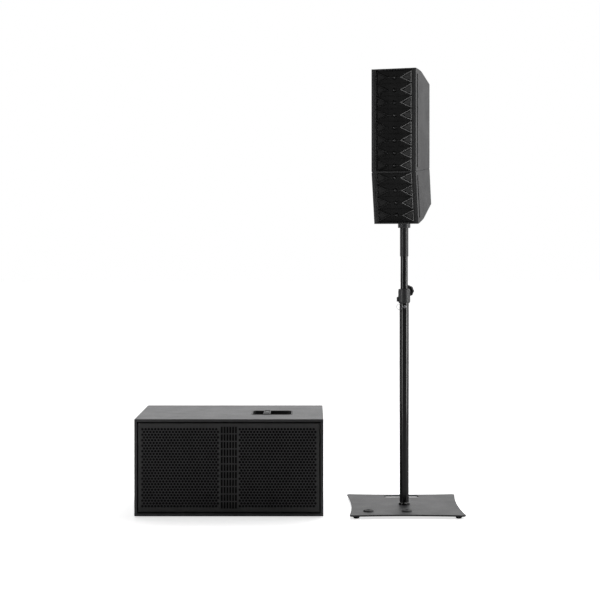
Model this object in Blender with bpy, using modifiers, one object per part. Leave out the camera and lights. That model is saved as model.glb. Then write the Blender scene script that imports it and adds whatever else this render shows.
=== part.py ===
"""Column PA system: a twin-woofer bass cabinet, a plate-based telescopic stand and a two-module column array.

Metres, +Z up, the front faces -Y. The origin is on the floor, at the centre of the whole system's footprint.
Each assembly hangs on its own empty: the bass cabinet, the stand, the turned array and its two modules.
"""

import math

import bmesh
import bpy
from mathutils import Matrix, Vector

GAP = 0.0003  # clearance left between touching pieces
ROUND = 32  # sides of the turned pieces that slide or turn in each other

# Bass cabinet
SUB_W, SUB_D, SUB_H = 0.736, 0.452, 0.378
SUB_WALL = 0.015
SUB_RIM = 0.011  # front edge of the cabinet, where the wall is rebated for the grille
SUB_FOOT_H = 0.006
GRILLE_W, GRILLE_H = SUB_W - 0.031, SUB_H - 0.031
GRILLE_SET_BACK = 0.002
GRILLE_RETURN = 0.016
SHEET = 0.0015
SLOT_COLUMNS, SLOT_ROWS = 6, 11
SLOT_ZONE_W, SLOT_ZONE_H = 0.066, 0.322
BAFFLE_Y, BAFFLE_T = 0.045, 0.018
WOOFER_X, WOOFER_R = 0.187, 0.130
WOOFER_HOLE_R = 0.118
PORT_W, PORT_H, PORT_DEPTH, PORT_WALL = 0.076, 0.300, 0.240, 0.005

# Handle dish in the top of the bass cabinet
DISH_W, DISH_D, DISH_DEPTH = 0.154, 0.119, 0.055
DISH_X, DISH_Y = 0.163, 0.202
DISH_WALL, DISH_LIP, DISH_LIP_T = 0.002, 0.006, 0.0008
GRIP_W, GRIP_X = 0.028, -0.020  # width of the grip, and its place from the dish's centre

# Amplifier in the back of the bass cabinet
AMP_W, AMP_H, AMP_T = 0.300, 0.240, 0.003
AMP_Z = 0.189
AMP_CUT_W, AMP_CUT_H = 0.276, 0.216
HEATSINK_W, HEATSINK_H, HEATSINK_D, FINS = 0.120, 0.200, 0.024, 9

# Stand
PLATE, PLATE_T, PLATE_CORNER_R, PLATE_SAG = 0.450, 0.006, 0.012, 0.012
FOOT_R, FOOT_H, FOOT_INSET = 0.0125, 0.010, 0.026
PLUG_PITCH = 0.150  # from the middle hole to each spare pole position
LOWER_R, LOWER_BORE_R = 0.0185, 0.0165
UPPER_R, UPPER_BORE_R = 0.0150, 0.0132
ADAPTER_R, ADAPTER_BORE_R = 0.0170, 0.0153
LOWER_TOP_Z = 0.862
COLLAR_BOTTOM_Z, COLLAR_TOP_Z = 0.827, 0.884
CLAMP_Z, CLAMP_TURN = 0.874, math.radians(22.0)  # clamp screw: height, and turn from straight back
PIN_Z = 0.813
UPPER_BOTTOM_Z, UPPER_TOP_Z = 0.320, 1.172
ADAPTER_BOTTOM_Z, ADAPTER_TOP_Z = 1.0147, 1.182
SOCKET_RIM_Z, SOCKET_R, SOCKET_BORE_R = 1.1296, 0.025, 0.0173

# Column array
ARRAY_W, ARRAY_D, ARRAY_WALL, ARRAY_END_WALL = 0.180, 0.228, 0.012, 0.006
ARRAY_YAW = math.radians(18.83)
POLE_DEPTH = 0.161  # from the upper module's front face back to the pole
WEDGE = math.radians(5.6)
UPPER_L, LOWER_L = 0.4055, 0.2068
UPPER_CELLS, LOWER_CELLS = 8, 4
ARRAY_TOP_Z = 1.753
JOIN_Z = ARRAY_TOP_Z - UPPER_L
KNEE_Y, KNEE_DROP, REAR_DROP = 0.089, 0.005, 0.043
CELL_PITCH = 0.0495
BEZEL_SIDE, BEZEL_END, BEZEL_SEAM = 0.011, 0.003, 0.0046  # cabinet edges left round the waveguide
DRIVER_R, DRIVER_DEPTH = 0.0205, 0.042
GUIDE_T, GUIDE_SET_BACK = 0.010, 0.006
SIDE_SLOT_Y, SIDE_SLOT_W, SIDE_SLOT_DEEP = 0.018, 0.005, 0.004

# Where the three assemblies stand: the footprint's middle is at X = Y = 0
SUB_TO_STAND = 0.695
REAR_REACH = 0.028  # how far the heatsink stands behind the cabinet
STAND_TO_SUB_FRONT = 0.195
FOOTPRINT_W = SUB_W / 2 + SUB_TO_STAND + PLATE / 2
FOOTPRINT_D = PLATE / 2 + SUB_D - STAND_TO_SUB_FRONT + REAR_REACH
STAND_X = FOOTPRINT_W / 2 - PLATE / 2
STAND_Y = PLATE / 2 - FOOTPRINT_D / 2
SUB_X = STAND_X - SUB_TO_STAND
SUB_FRONT_Y = STAND_Y - STAND_TO_SUB_FRONT

COLOURS = {
    "paint": ((0.035, 0.035, 0.038), 0.55, 0.0),
    "steel_black": ((0.045, 0.045, 0.047), 0.45, 0.6),
    "plastic": ((0.020, 0.020, 0.021), 0.50, 0.0),
    "rubber": ((0.015, 0.015, 0.015), 0.85, 0.0),
    "foam": ((0.012, 0.012, 0.012), 0.95, 0.0),
    "board": ((0.30, 0.21, 0.12), 0.70, 0.0),
    "paper": ((0.030, 0.030, 0.030), 0.80, 0.0),
    "aluminium": ((0.55, 0.55, 0.56), 0.35, 1.0),
    "chrome": ((0.75, 0.75, 0.77), 0.15, 1.0),
    "circuit": ((0.03, 0.16, 0.07), 0.50, 0.0),
}


def clear_scene():
    for obj in list(bpy.data.objects):
        bpy.data.objects.remove(obj)


def make_material(name):
    rgb, roughness, metallic = COLOURS[name]
    material = bpy.data.materials.new(name)
    material.use_nodes = True
    shader = material.node_tree.nodes["Principled BSDF"]
    shader.inputs["Base Color"].default_value = (*rgb, 1.0)
    shader.inputs["Roughness"].default_value = roughness
    shader.inputs["Metallic"].default_value = metallic
    return material


def make_collection(name):
    collection = bpy.data.collections.new(name)
    bpy.context.scene.collection.children.link(collection)
    return collection


clear_scene()
PARTS = make_collection("column_pa_system")
CUTTERS = make_collection("cutters")
MATERIALS = {name: make_material(name) for name in COLOURS}


def make_frame(name, location, rotation=(0, 0, 0), parent=None):
    """An empty that an assembly hangs on."""
    empty = bpy.data.objects.new(name, None)
    empty.location, empty.rotation_euler, empty.parent = location, rotation, parent
    PARTS.objects.link(empty)
    return empty


def add_object(name, data, frame, material, location=(0, 0, 0), rotation=(0, 0, 0)):
    obj = bpy.data.objects.new(name, data)
    obj.location, obj.rotation_euler, obj.parent = location, rotation, frame
    if material is None:
        CUTTERS.objects.link(obj)
        obj.hide_render, obj.display_type = True, "WIRE"
    else:
        PARTS.objects.link(obj)
        data.materials.append(MATERIALS[material])
    return obj


def box(lo, hi):
    """A block between two corners, as a shape for solids()."""
    size = Vector(hi) - Vector(lo)
    centre = (Vector(hi) + Vector(lo)) / 2
    matrix = Matrix.Translation(centre) @ Matrix.Diagonal((*size, 1.0))
    return lambda bm: bmesh.ops.create_cube(bm, size=1.0, matrix=matrix)


def rod(radius, start, end, sides=16, end_radius=None):
    """A cylinder or a cone between two points, as a shape for solids()."""
    start, end = Vector(start), Vector(end)
    turn = (end - start).to_track_quat("Z", "Y").to_matrix().to_4x4()
    matrix = Matrix.Translation((start + end) / 2) @ turn
    return lambda bm: bmesh.ops.create_cone(
        bm,
        cap_ends=True,
        segments=sides,
        radius1=radius,
        radius2=radius if end_radius is None else end_radius,
        depth=(end - start).length,
        matrix=matrix,
    )


def solids(name, shapes, frame, material, **place):
    """One object holding the shapes. A piece has one, and a cutter may have several that keep clear."""
    bm = bmesh.new()
    for shape in shapes:
        shape(bm)
    mesh = bpy.data.meshes.new(name)
    bm.to_mesh(mesh)
    bm.free()
    return add_object(name, mesh, frame, material, **place)


def turned(name, profile, frame, material, sides=ROUND, **place):
    """A solid of revolution about local Z. The profile of (radius, height) runs down its outer side.

    It starts and ends on the axis, or else it is a ring and closes on itself.
    """
    ring = profile[0][0] > 0
    mesh = bpy.data.meshes.new(name)
    edges = [(i, i + 1) for i in range(len(profile) - 1)]
    edges += [(len(profile) - 1, 0)] if ring else []
    mesh.from_pydata([(r, 0, z) for r, z in profile], edges, [])
    obj = add_object(name, mesh, frame, material, **place)
    screw = obj.modifiers.new("turn", "SCREW")
    screw.steps = screw.render_steps = sides
    screw.use_merge_vertices, screw.merge_threshold = True, 0.00001
    return obj


def flat(name, loops, thickness, frame, material, **place):
    """A flat outline in local XY, with any further loops as holes, extruded evenly to both sides."""
    curve = bpy.data.curves.new(name, "CURVE")
    curve.dimensions, curve.fill_mode, curve.extrude = "2D", "BOTH", thickness / 2
    for loop in loops:
        spline = curve.splines.new("POLY")
        spline.points.add(len(loop) - 1)
        for point, (x, y) in zip(spline.points, loop):
            point.co = (x, y, 0, 1)
        spline.use_cyclic_u = True
    return add_object(name, curve, frame, material, **place)


def as_mesh(obj):
    """Replaces a curve or a turned object by the welded mesh of its evaluated shape, for Booleans."""
    bpy.context.view_layer.update()
    graph = bpy.context.evaluated_depsgraph_get()
    mesh = bpy.data.meshes.new_from_object(obj.evaluated_get(graph))
    bm = bmesh.new()
    bm.from_mesh(mesh)
    bmesh.ops.remove_doubles(bm, verts=bm.verts, dist=0.00001)
    bm.to_mesh(mesh)
    bm.free()
    name, frame, collection = obj.name, obj.parent, obj.users_collection[0]
    made = bpy.data.objects.new(name + "_mesh", mesh)
    made.parent, made.matrix_local = frame, obj.matrix_local
    made.hide_render, made.display_type = obj.hide_render, obj.display_type
    collection.objects.link(made)
    bpy.data.objects.remove(obj)
    made.name = name
    return made


def combine(obj, operation, *others):
    for other in others:
        boolean = obj.modifiers.new(other.name, "BOOLEAN")
        boolean.operation, boolean.object, boolean.solver = operation, other, "EXACT"
    return obj


def fused(name, shapes, frame, material, **place):
    """One body made of overlapping shapes."""
    obj = solids(name, shapes[:1], frame, material, **place)
    for number, shape in enumerate(shapes[1:]):
        join(obj, solids(f"{name}_{number}", [shape], frame, None, **place))
    return obj


def cut(obj, *cutters):
    return combine(obj, "DIFFERENCE", *cutters)


def join(obj, *others):
    return combine(obj, "UNION", *others)


def rectangle(width, height, x=0.0, y=0.0):
    w, h = width / 2, height / 2
    return [(x - w, y - h), (x + w, y - h), (x + w, y + h), (x - w, y + h)]


def circle(radius, x=0.0, y=0.0, sides=16):
    steps = [math.tau * i / sides for i in range(sides)]
    return [(x + radius * math.cos(a), y + radius * math.sin(a)) for a in steps]


def rounded(width, height, radius, x=0.0, y=0.0, steps=4):
    """A rectangle with round corners."""
    points = []
    for quarter, (sx, sy) in enumerate([(1, 1), (-1, 1), (-1, -1), (1, -1)]):
        cx, cy = x + sx * (width / 2 - radius), y + sy * (height / 2 - radius)
        for i in range(steps + 1):
            a = math.pi / 2 * (quarter + i / steps)
            points.append((cx + radius * math.cos(a), cy + radius * math.sin(a)))
    return points


def corners(half_w, half_d):
    return [(x, y) for x in (-half_w, half_w) for y in (-half_d, half_d)]


def hollow_square(size, corner_radius, sag, steps=8):
    """A square whose four sides curve inwards by sag, with round corners."""
    half = size / 2
    points = []
    for quarter in range(4):
        turn = Matrix.Rotation(math.pi / 2 * quarter, 2)
        for i in range(steps + 1):
            t = 2 * i / steps - 1
            side = Vector((half - sag * (1 - t * t), t * (half - corner_radius)))
            points.append(tuple(turn @ side))
        for i in (1, 2, 3):
            a = math.pi / 8 * i
            middle = half - corner_radius
            corner = Vector((middle + corner_radius * math.cos(a), middle + corner_radius * math.sin(a)))
            points.append(tuple(turn @ corner))
    return points


FACING_FRONT = (math.pi / 2, 0, 0)  # an outline's (x, y) becomes (X, Z)
FACING_BACK = (-math.pi / 2, 0, 0)  # a turned piece's local +Z points to the back
SIDE_ON = (math.pi / 2, 0, math.pi / 2)  # an outline's (x, y) becomes (Y, Z)


# ---------------------------------------------------------------- bass cabinet


def build_sub_cabinet(frame):
    body = solids("sub_cabinet", [box((-SUB_W / 2, 0, 0), (SUB_W / 2, SUB_D, SUB_H))], frame, "paint")
    inner = SUB_W / 2 - SUB_WALL
    cavity = solids(
        "cut_cavity",
        [box((-inner, -0.010, SUB_WALL), (inner, SUB_D - SUB_WALL, SUB_H - SUB_WALL))],
        frame,
        None,
    )
    rim = SUB_W / 2 - SUB_RIM
    rebate = solids("cut_rebate", [box((-rim, -0.010, SUB_RIM), (rim, 0.020, SUB_H - SUB_RIM))], frame, None)
    hole_w, hole_d = DISH_W / 2 + DISH_WALL + GAP, DISH_D / 2 + DISH_WALL + GAP
    low, high = (DISH_X - hole_w, DISH_Y - hole_d), (DISH_X + hole_w, DISH_Y + hole_d)
    dish_hole = solids("cut_dish", [box((*low, SUB_H - 0.030), (*high, SUB_H + 0.010))], frame, None)
    half_w, bottom, top = AMP_CUT_W / 2, AMP_Z - AMP_CUT_H / 2, AMP_Z + AMP_CUT_H / 2
    amp_cut = box((-half_w, SUB_D - 0.030, bottom), (half_w, SUB_D + 0.010, top))
    amp_hole = solids("cut_amp", [amp_cut], frame, None)
    return cut(body, cavity, rebate, dish_hole, amp_hole)


def build_sub_baffle(frame):
    width, height = SUB_W - 2 * SUB_WALL - 2 * GAP, SUB_H - 2 * SUB_WALL - 2 * GAP
    loops = [rectangle(width, height), rectangle(PORT_W, PORT_H)]
    loops += [circle(WOOFER_HOLE_R, side * WOOFER_X, 0, 28) for side in (-1, 1)]
    place = (0, BAFFLE_Y + BAFFLE_T / 2, SUB_H / 2)
    flat("sub_baffle", loops, BAFFLE_T, frame, "board", location=place, rotation=FACING_FRONT)


def build_port(frame):
    width, height = PORT_W - 2 * GAP, PORT_H - 2 * GAP
    loops = [rectangle(width, height), rectangle(width - 2 * PORT_WALL, height - 2 * PORT_WALL)]
    place = (0, BAFFLE_Y + PORT_DEPTH / 2, SUB_H / 2)
    flat("port_duct", loops, PORT_DEPTH, frame, "plastic", location=place, rotation=FACING_FRONT)


def slot_centres():
    """Middles of the slots between the grille's two perforated halves."""
    step_x, step_z = SLOT_ZONE_W / SLOT_COLUMNS, SLOT_ZONE_H / SLOT_ROWS
    for column in range(SLOT_COLUMNS):
        for row in range(SLOT_ROWS):
            yield (column - (SLOT_COLUMNS - 1) / 2) * step_x, (row - (SLOT_ROWS - 1) / 2) * step_z


def build_grille(frame):
    """Folded steel sheet, slotted down the middle, with a foam sheet behind it."""
    slot_w, slot_h = SLOT_ZONE_W / SLOT_COLUMNS - 0.004, SLOT_ZONE_H / SLOT_ROWS - 0.004
    loops = [rectangle(GRILLE_W, GRILLE_H)] + [rectangle(slot_w, slot_h, x, z) for x, z in slot_centres()]
    face_y = GRILLE_SET_BACK + SHEET / 2
    sheet = flat(
        "sub_grille",
        loops,
        SHEET,
        frame,
        "steel_black",
        location=(0, face_y, SUB_H / 2),
        rotation=FACING_FRONT,
    )
    sheet = as_mesh(sheet)
    edge_w, edge_h = GRILLE_W - 0.0004, GRILLE_H - 0.0004
    edges = flat(
        "grille_edges",
        [rectangle(edge_w, edge_h), rectangle(edge_w - 2 * SHEET, edge_h - 2 * SHEET)],
        GRILLE_RETURN,
        frame,
        None,
        location=(0, face_y + GRILLE_RETURN / 2, SUB_H / 2),
        rotation=FACING_FRONT,
    )
    join(sheet, as_mesh(edges))
    foam_y = GRILLE_SET_BACK + SHEET + GAP
    half_w, half_h = GRILLE_W / 2 - 0.004, GRILLE_H / 2 - 0.004
    middle = SUB_H / 2
    solids(
        "grille_foam",
        [box((-half_w, foam_y, middle - half_h), (half_w, foam_y + 0.006, middle + half_h))],
        frame,
        "foam",
    )


def build_woofer(frame, side, name):
    """Frame with magnet, and the cone that travels in it. Local +Z of both points to the front."""
    place = {"location": (side * WOOFER_X, BAFFLE_Y, SUB_H / 2), "rotation": FACING_FRONT}
    wall = 0.003
    profile = [
        (WOOFER_R, 0.006),
        (WOOFER_R, GAP),
        (WOOFER_HOLE_R - 0.002, GAP),
        (WOOFER_HOLE_R - 0.002, -0.030),
        (0.062, -0.088),
        (0.078, -0.088),
        (0.078, -0.118),
        (0.020, -0.118),
        (0.020, -0.084),
        (0.058, -0.082),
        (WOOFER_HOLE_R - 0.002 - wall, -0.028),
        (WOOFER_HOLE_R - 0.002 - wall, 0.006),
    ]
    turned(f"woofer_frame_{name}", profile, frame, "steel_black", 28, **place)
    edge = WOOFER_HOLE_R - 0.002 - wall - 0.0015
    cone = [
        (0, -0.026),
        (0.030, -0.032),
        (0.036, -0.040),
        (edge - 0.012, -0.002),
        (edge - 0.006, 0.003),
        (edge, -0.002),
        (edge, -0.004),
        (edge - 0.012, -0.006),
        (0.032, -0.050),
        (0.017, -0.052),
        (0.017, -0.076),
        (0, -0.076),
    ]
    turned(f"woofer_cone_{name}", cone, frame, "paper", 28, **place)


def build_handle(frame):
    """Dish let into the top, with a grip across it."""
    place = {"location": (DISH_X, DISH_Y, SUB_H)}
    w, d = DISH_W / 2, DISH_D / 2
    wall_w, wall_d = w + DISH_WALL, d + DISH_WALL
    lip_w, lip_d = w + DISH_LIP, d + DISH_LIP
    top = GAP + DISH_LIP_T
    dish = solids("handle_dish", [box((-lip_w, -lip_d, GAP), (lip_w, lip_d, top))], frame, "plastic", **place)
    tray = solids(
        "dish_tray",
        [box((-wall_w, -wall_d, -DISH_DEPTH - DISH_WALL), (wall_w, wall_d, top - 0.0004))],
        frame,
        None,
        **place,
    )
    hollow = solids("cut_tray", [box((-w, -d, -DISH_DEPTH), (w, d, 0.010))], frame, None, **place)
    cut(join(dish, tray), hollow)
    grip = GRIP_W / 2
    strap = solids(
        "handle_grip",
        [box((GRIP_X - grip, -lip_d + 0.001, top + GAP), (GRIP_X + grip, lip_d - 0.001, top + 0.0025))],
        frame,
        "plastic",
        **place,
    )
    rib = solids(
        "grip_rib",
        [box((GRIP_X - grip + 0.003, -d + 0.001, -0.014), (GRIP_X + grip - 0.003, d - 0.001, top + 0.002))],
        frame,
        None,
        **place,
    )
    join(strap, rib)


def build_sub_feet(frame):
    for number, (x, y) in enumerate(corners(SUB_W / 2 - 0.050, SUB_D / 2 - 0.050), 1):
        y += SUB_D / 2
        foot = rod(0.017, (x, y, -SUB_FOOT_H), (x, y, -GAP), 12, 0.019)
        solids(f"sub_foot_{number}", [foot], frame, "rubber")


# Sockets and controls on the amplifier panel: (x, z) from its middle, as seen from the front side
SOCKETS = {
    "input_socket": (-0.052, 0.075),
    "speaker_socket": (-0.052, -0.020),
}
LEVEL_KNOB = (-0.052, 0.030)
MAINS = (-0.034, -0.082)
SWITCH = (-0.088, -0.082)
KNOB_R, SOCKET_HOLE_R = 0.010, 0.012
MAINS_W, MAINS_H = 0.034, 0.028
SWITCH_W, SWITCH_H = 0.024, 0.020
SWITCH_TILT = math.radians(8.0)


def build_socket(name, frame, radius, **place):
    """Panel socket: an outer flange, and a cup through the panel that takes the plug."""
    depth, wall, flange = 0.022, 0.0022, radius + 0.003
    turned(
        name,
        [
            (flange, 0.0015 + GAP),
            (flange, GAP),
            (radius - GAP, GAP),
            (radius - GAP, -depth),
            (0, -depth),
            (0, -depth + 0.003),
            (radius - wall, -depth + 0.003),
            (radius - wall, 0.0015 + GAP),
        ],
        frame,
        "plastic",
        16,
        rotation=FACING_BACK,
        **place,
    )


def build_amplifier(frame):
    """Panel on the back with its sockets, controls and heatsink, and the circuit board behind it."""
    back = SUB_D + GAP
    place = {"location": (0, back + AMP_T / 2, AMP_Z), "rotation": FACING_FRONT}
    loops = [rounded(AMP_W, AMP_H, 0.006)]
    loops += [circle(SOCKET_HOLE_R, x, z, 16) for x, z in SOCKETS.values()]
    loops += [circle(0.004, *LEVEL_KNOB, 8), rectangle(MAINS_W, MAINS_H, *MAINS)]
    loops += [rectangle(SWITCH_W, SWITCH_H, *SWITCH)]
    flat("amp_panel", loops, AMP_T, frame, "steel_black", **place)

    outside = back + AMP_T
    comb = [(0, 0), (HEATSINK_W, 0)]
    pitch = HEATSINK_W / (FINS - 0.5)
    deep = HEATSINK_D - 0.005
    for fin in reversed(range(FINS)):
        left = fin * pitch
        comb += [(left + pitch / 2, HEATSINK_D), (left, HEATSINK_D)]
        comb += [(left, HEATSINK_D - deep), (left - pitch / 2, HEATSINK_D - deep)] if fin else []
    flat(
        "amp_heatsink",
        [comb],
        HEATSINK_H,
        frame,
        "aluminium",
        location=(0.014, outside + GAP, AMP_Z),
    )

    def local(x, z, y):
        return (x, y, AMP_Z + z)

    for name, (x, z) in SOCKETS.items():
        build_socket(name, frame, SOCKET_HOLE_R, location=local(x, z, outside))
    cap = rod(KNOB_R, (0, GAP, 0), (0, 0.014, 0), 16, KNOB_R - 0.0015)
    shaft = rod(0.003, (0, -0.014, 0), (0, 0.004, 0), 8)
    fused("level_knob", [cap, shaft], frame, "plastic", location=local(*LEVEL_KNOB, outside))
    x, z = MAINS
    half_w, half_h = MAINS_W / 2 - GAP, MAINS_H / 2 - GAP
    inlet = solids(
        "mains_inlet",
        [box((-half_w, -0.030, -half_h), (half_w, 0.001, half_h))],
        frame,
        "plastic",
        location=local(x, z, outside),
    )
    recess = solids(
        "cut_inlet",
        [box((-half_w + 0.003, -0.016, -half_h + 0.003), (half_w - 0.003, 0.010, half_h - 0.003))],
        frame,
        None,
        location=local(x, z, outside),
    )
    cut(inlet, recess)
    half = SWITCH_H / 2 - 0.0015
    rocker = [(0.0045, half), (0.0020, 0), (0.0045, -half), (-0.0020, -half), (-0.0060, 0), (-0.0020, half)]
    tilt = Matrix.Rotation(SWITCH_TILT, 2)
    x, z = SWITCH
    flat(
        "power_switch",
        [[tuple(tilt @ Vector(point)) for point in rocker]],
        SWITCH_W - 0.002,
        frame,
        "plastic",
        location=local(x, z, outside - AMP_T / 2),
        rotation=SIDE_ON,
    )
    board_y = SUB_D - 0.075
    half_w, half_h = 0.120, 0.095
    deep = board_y + 0.001
    parts = [
        box((-half_w, board_y, AMP_Z - half_h), (half_w, board_y + 0.002, AMP_Z + half_h)),
        box((0.020, deep, AMP_Z - 0.070), (0.070, board_y + 0.032, AMP_Z - 0.020)),
        box((0.030, deep, AMP_Z + 0.010), (0.090, board_y + 0.020, AMP_Z + 0.070)),
    ]
    for x in (-0.090, -0.060):
        parts.append(rod(0.011, (x, deep, AMP_Z - 0.045), (x, board_y + 0.030, AMP_Z - 0.045), 10))
    fused("amp_board", parts, frame, "circuit")


def build_sub():
    frame = make_frame("sub_frame", (SUB_X, SUB_FRONT_Y, SUB_FOOT_H))
    build_sub_cabinet(frame)
    build_sub_baffle(frame)
    build_port(frame)
    build_grille(frame)
    build_woofer(frame, -1, "left")
    build_woofer(frame, 1, "right")
    build_handle(frame)
    build_sub_feet(frame)
    build_amplifier(frame)


# ---------------------------------------------------------------- stand

HANDLE_SLOT_W, HANDLE_SLOT_D, HANDLE_SLOT_Y = 0.143, 0.036, 0.175
BOLT_HOLE_R, PLUG_HOLE_R = 0.0055, 0.011
SPARE_POSITIONS = {
    "plate_plug_middle": (0, -PLUG_PITCH + 0.006),
    "plate_plug_corner": (-PLUG_PITCH, -PLUG_PITCH + 0.006),
}
PLATE_TOP_Z = FOOT_H + PLATE_T


def build_base(frame):
    loops = [hollow_square(PLATE, PLATE_CORNER_R, PLATE_SAG)]
    loops += [rounded(HANDLE_SLOT_W, HANDLE_SLOT_D, 0.012, 0, HANDLE_SLOT_Y)]
    loops += [circle(BOLT_HOLE_R, sides=12)]
    loops += [circle(PLUG_HOLE_R, x, y, 12) for x, y in SPARE_POSITIONS.values()]
    flat("base_plate", loops, PLATE_T, frame, "steel_black", location=(0, 0, FOOT_H + PLATE_T / 2))
    reach = PLATE / 2 - FOOT_INSET
    for number, (x, y) in enumerate(corners(reach, reach), 1):
        foot = rod(FOOT_R - 0.001, (x, y, 0), (x, y, FOOT_H - GAP), 16, FOOT_R)
        solids(f"base_foot_{number}", [foot], frame, "rubber")
    for name, (x, y) in SPARE_POSITIONS.items():
        turned(
            name,
            [
                (0, 0.0045),
                (0.007, 0.0045),
                (0.009, 0.0060),
                (0.017, 0.0060),
                (0.0205, 0.0035),
                (0.0205, GAP),
                (PLUG_HOLE_R - 0.0006, GAP),
                (PLUG_HOLE_R - 0.0006, -PLATE_T),
                (0, -PLATE_T),
            ],
            frame,
            "plastic",
            24,
            location=(x, y, PLATE_TOP_Z),
        )


def build_lower_tube(frame):
    """The tube's welded bottom plug takes the bolt that comes up through the base plate."""
    shank = rod(0.0044, (0, 0, FOOT_H - 0.002), (0, 0, PLATE_TOP_Z + 0.022), 12)
    head = rod(0.0088, (0, 0, FOOT_H - 0.0068), (0, 0, FOOT_H - GAP), 6)
    fused("foot_bolt", [head, shank], frame, "chrome")
    bottom, plug_top, bolt_r = PLATE_TOP_Z + GAP, PLATE_TOP_Z + 0.025, BOLT_HOLE_R - 0.0005
    tube = turned(
        "lower_tube",
        [
            (LOWER_R, LOWER_TOP_Z),
            (LOWER_R, bottom + 0.010),
            (LOWER_R + 0.004, bottom + 0.007),
            (LOWER_R + 0.004, bottom),
            (bolt_r, bottom),
            (bolt_r, plug_top),
            (LOWER_BORE_R, plug_top),
            (LOWER_BORE_R, LOWER_TOP_Z),
        ],
        frame,
        "steel_black",
    )
    cut(tube, solids("cut_pin_hole", [rod(0.0034, (0, -0.030, PIN_Z), (0, -0.005, PIN_Z), 12)], frame, None))


def build_clamp(frame):
    """Collar over the lower tube's mouth, with a star knob whose screw presses a shoe on the upper tube.

    Its throat reaches into the lower tube and guides the upper one.
    """
    over_tube, throat, step_z = LOWER_R + GAP, LOWER_BORE_R - GAP, LOWER_TOP_Z + GAP
    collar = turned(
        "clamp_collar",
        [
            (0.0215, COLLAR_TOP_Z),
            (0.0235, COLLAR_TOP_Z - 0.003),
            (0.0245, COLLAR_BOTTOM_Z + 0.022),
            (0.0225, COLLAR_BOTTOM_Z + 0.004),
            (0.0215, COLLAR_BOTTOM_Z),
            (over_tube, COLLAR_BOTTOM_Z),
            (over_tube, step_z),
            (throat, step_z),
            (throat, LOWER_TOP_Z - 0.030),
            (ADAPTER_BORE_R, LOWER_TOP_Z - 0.030),
            (ADAPTER_BORE_R, COLLAR_TOP_Z),
        ],
        frame,
        "plastic",
    )
    collar = as_mesh(collar)
    lug = solids(
        "collar_lug",
        [box((-0.0300, -0.0060, COLLAR_BOTTOM_Z + 0.006), (-0.0200, 0.0060, COLLAR_BOTTOM_Z + 0.024))],
        frame,
        None,
    )
    out = Vector((math.sin(CLAMP_TURN), math.cos(CLAMP_TURN), 0))
    axis_point = Vector((0, 0, CLAMP_Z))

    def along(radius, start, end, sides=12):
        """A rod on the clamp screw's axis, from start to end away from the pole's middle."""
        return [rod(radius, axis_point + out * start, axis_point + out * end, sides)]

    boss = solids("collar_boss", along(0.0095, 0.0190, 0.0310, 16), frame, None)
    shoe_bore = solids("cut_shoe", along(0.0058, 0.0100, 0.0255), frame, None)
    screw_bore = solids("cut_screw", along(0.0046, 0.0250, 0.0400), frame, None)
    cut(join(collar, lug, boss), shoe_bore, screw_bore)
    solids("brake_shoe", along(0.0052, 0.0154, 0.0216), frame, "plastic")
    lobes, steps = 8, 32
    star = []
    for i in range(steps):
        a = math.tau * i / steps
        r = 0.0228 + 0.0010 * math.cos(lobes * a)
        star.append((r * math.cos(a), r * math.sin(a)))
    knob = flat(
        "clamp_knob",
        [star],
        0.018,
        frame,
        "plastic",
        location=axis_point + out * 0.0510,
        rotation=(math.pi / 2, 0, -CLAMP_TURN),
    )
    knob = as_mesh(knob)
    hub = solids("knob_hub", along(0.0100, 0.0352, 0.0440, 16), frame, None)
    screw = solids("knob_screw", along(0.0040, 0.0221, 0.0430), frame, None)
    join(knob, hub, screw)


PIN_HEAD_R, PIN_HEAD_FRONT = 0.0060, 0.0300
EYE_X, EYE_Y = -0.0095, -0.0250
RING_R, RING_WIRE_R = 0.0110, 0.0009


def build_locking_pin(frame):
    """Sprung locking pin through the front of the lower tube, with a pull ring in its eye."""
    pin = solids(
        "locking_pin",
        [rod(0.0030, (0, -0.0155, PIN_Z), (0, -0.0210, PIN_Z), 12)],
        frame,
        "chrome",
    )
    head = solids(
        "pin_head",
        [rod(PIN_HEAD_R, (0, -0.0192, PIN_Z), (0, -PIN_HEAD_FRONT, PIN_Z), 16)],
        frame,
        None,
    )
    eye = solids(
        "pin_eye",
        [box((EYE_X - 0.0030, EYE_Y - 0.0030, PIN_Z - 0.0015), (0, EYE_Y + 0.0030, PIN_Z + 0.0015))],
        frame,
        None,
    )
    through_eye = rod(0.0016, (EYE_X, EYE_Y, PIN_Z - 0.010), (EYE_X, EYE_Y, PIN_Z + 0.010), 10)
    eye_hole = solids("cut_eye", [through_eye], frame, None)
    cut(join(pin, head, eye), eye_hole)
    bpy.ops.mesh.primitive_torus_add(
        major_segments=24,
        minor_segments=6,
        major_radius=RING_R,
        minor_radius=RING_WIRE_R,
        rotation=(math.pi / 2, 0, 0),
    )
    ring = bpy.context.object
    ring.name = "pin_ring"
    for collection in list(ring.users_collection):
        collection.objects.unlink(ring)
    PARTS.objects.link(ring)
    ring.parent = frame
    ring.location = (EYE_X - RING_R, EYE_Y, PIN_Z)
    ring.data.materials.append(MATERIALS["chrome"])


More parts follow.
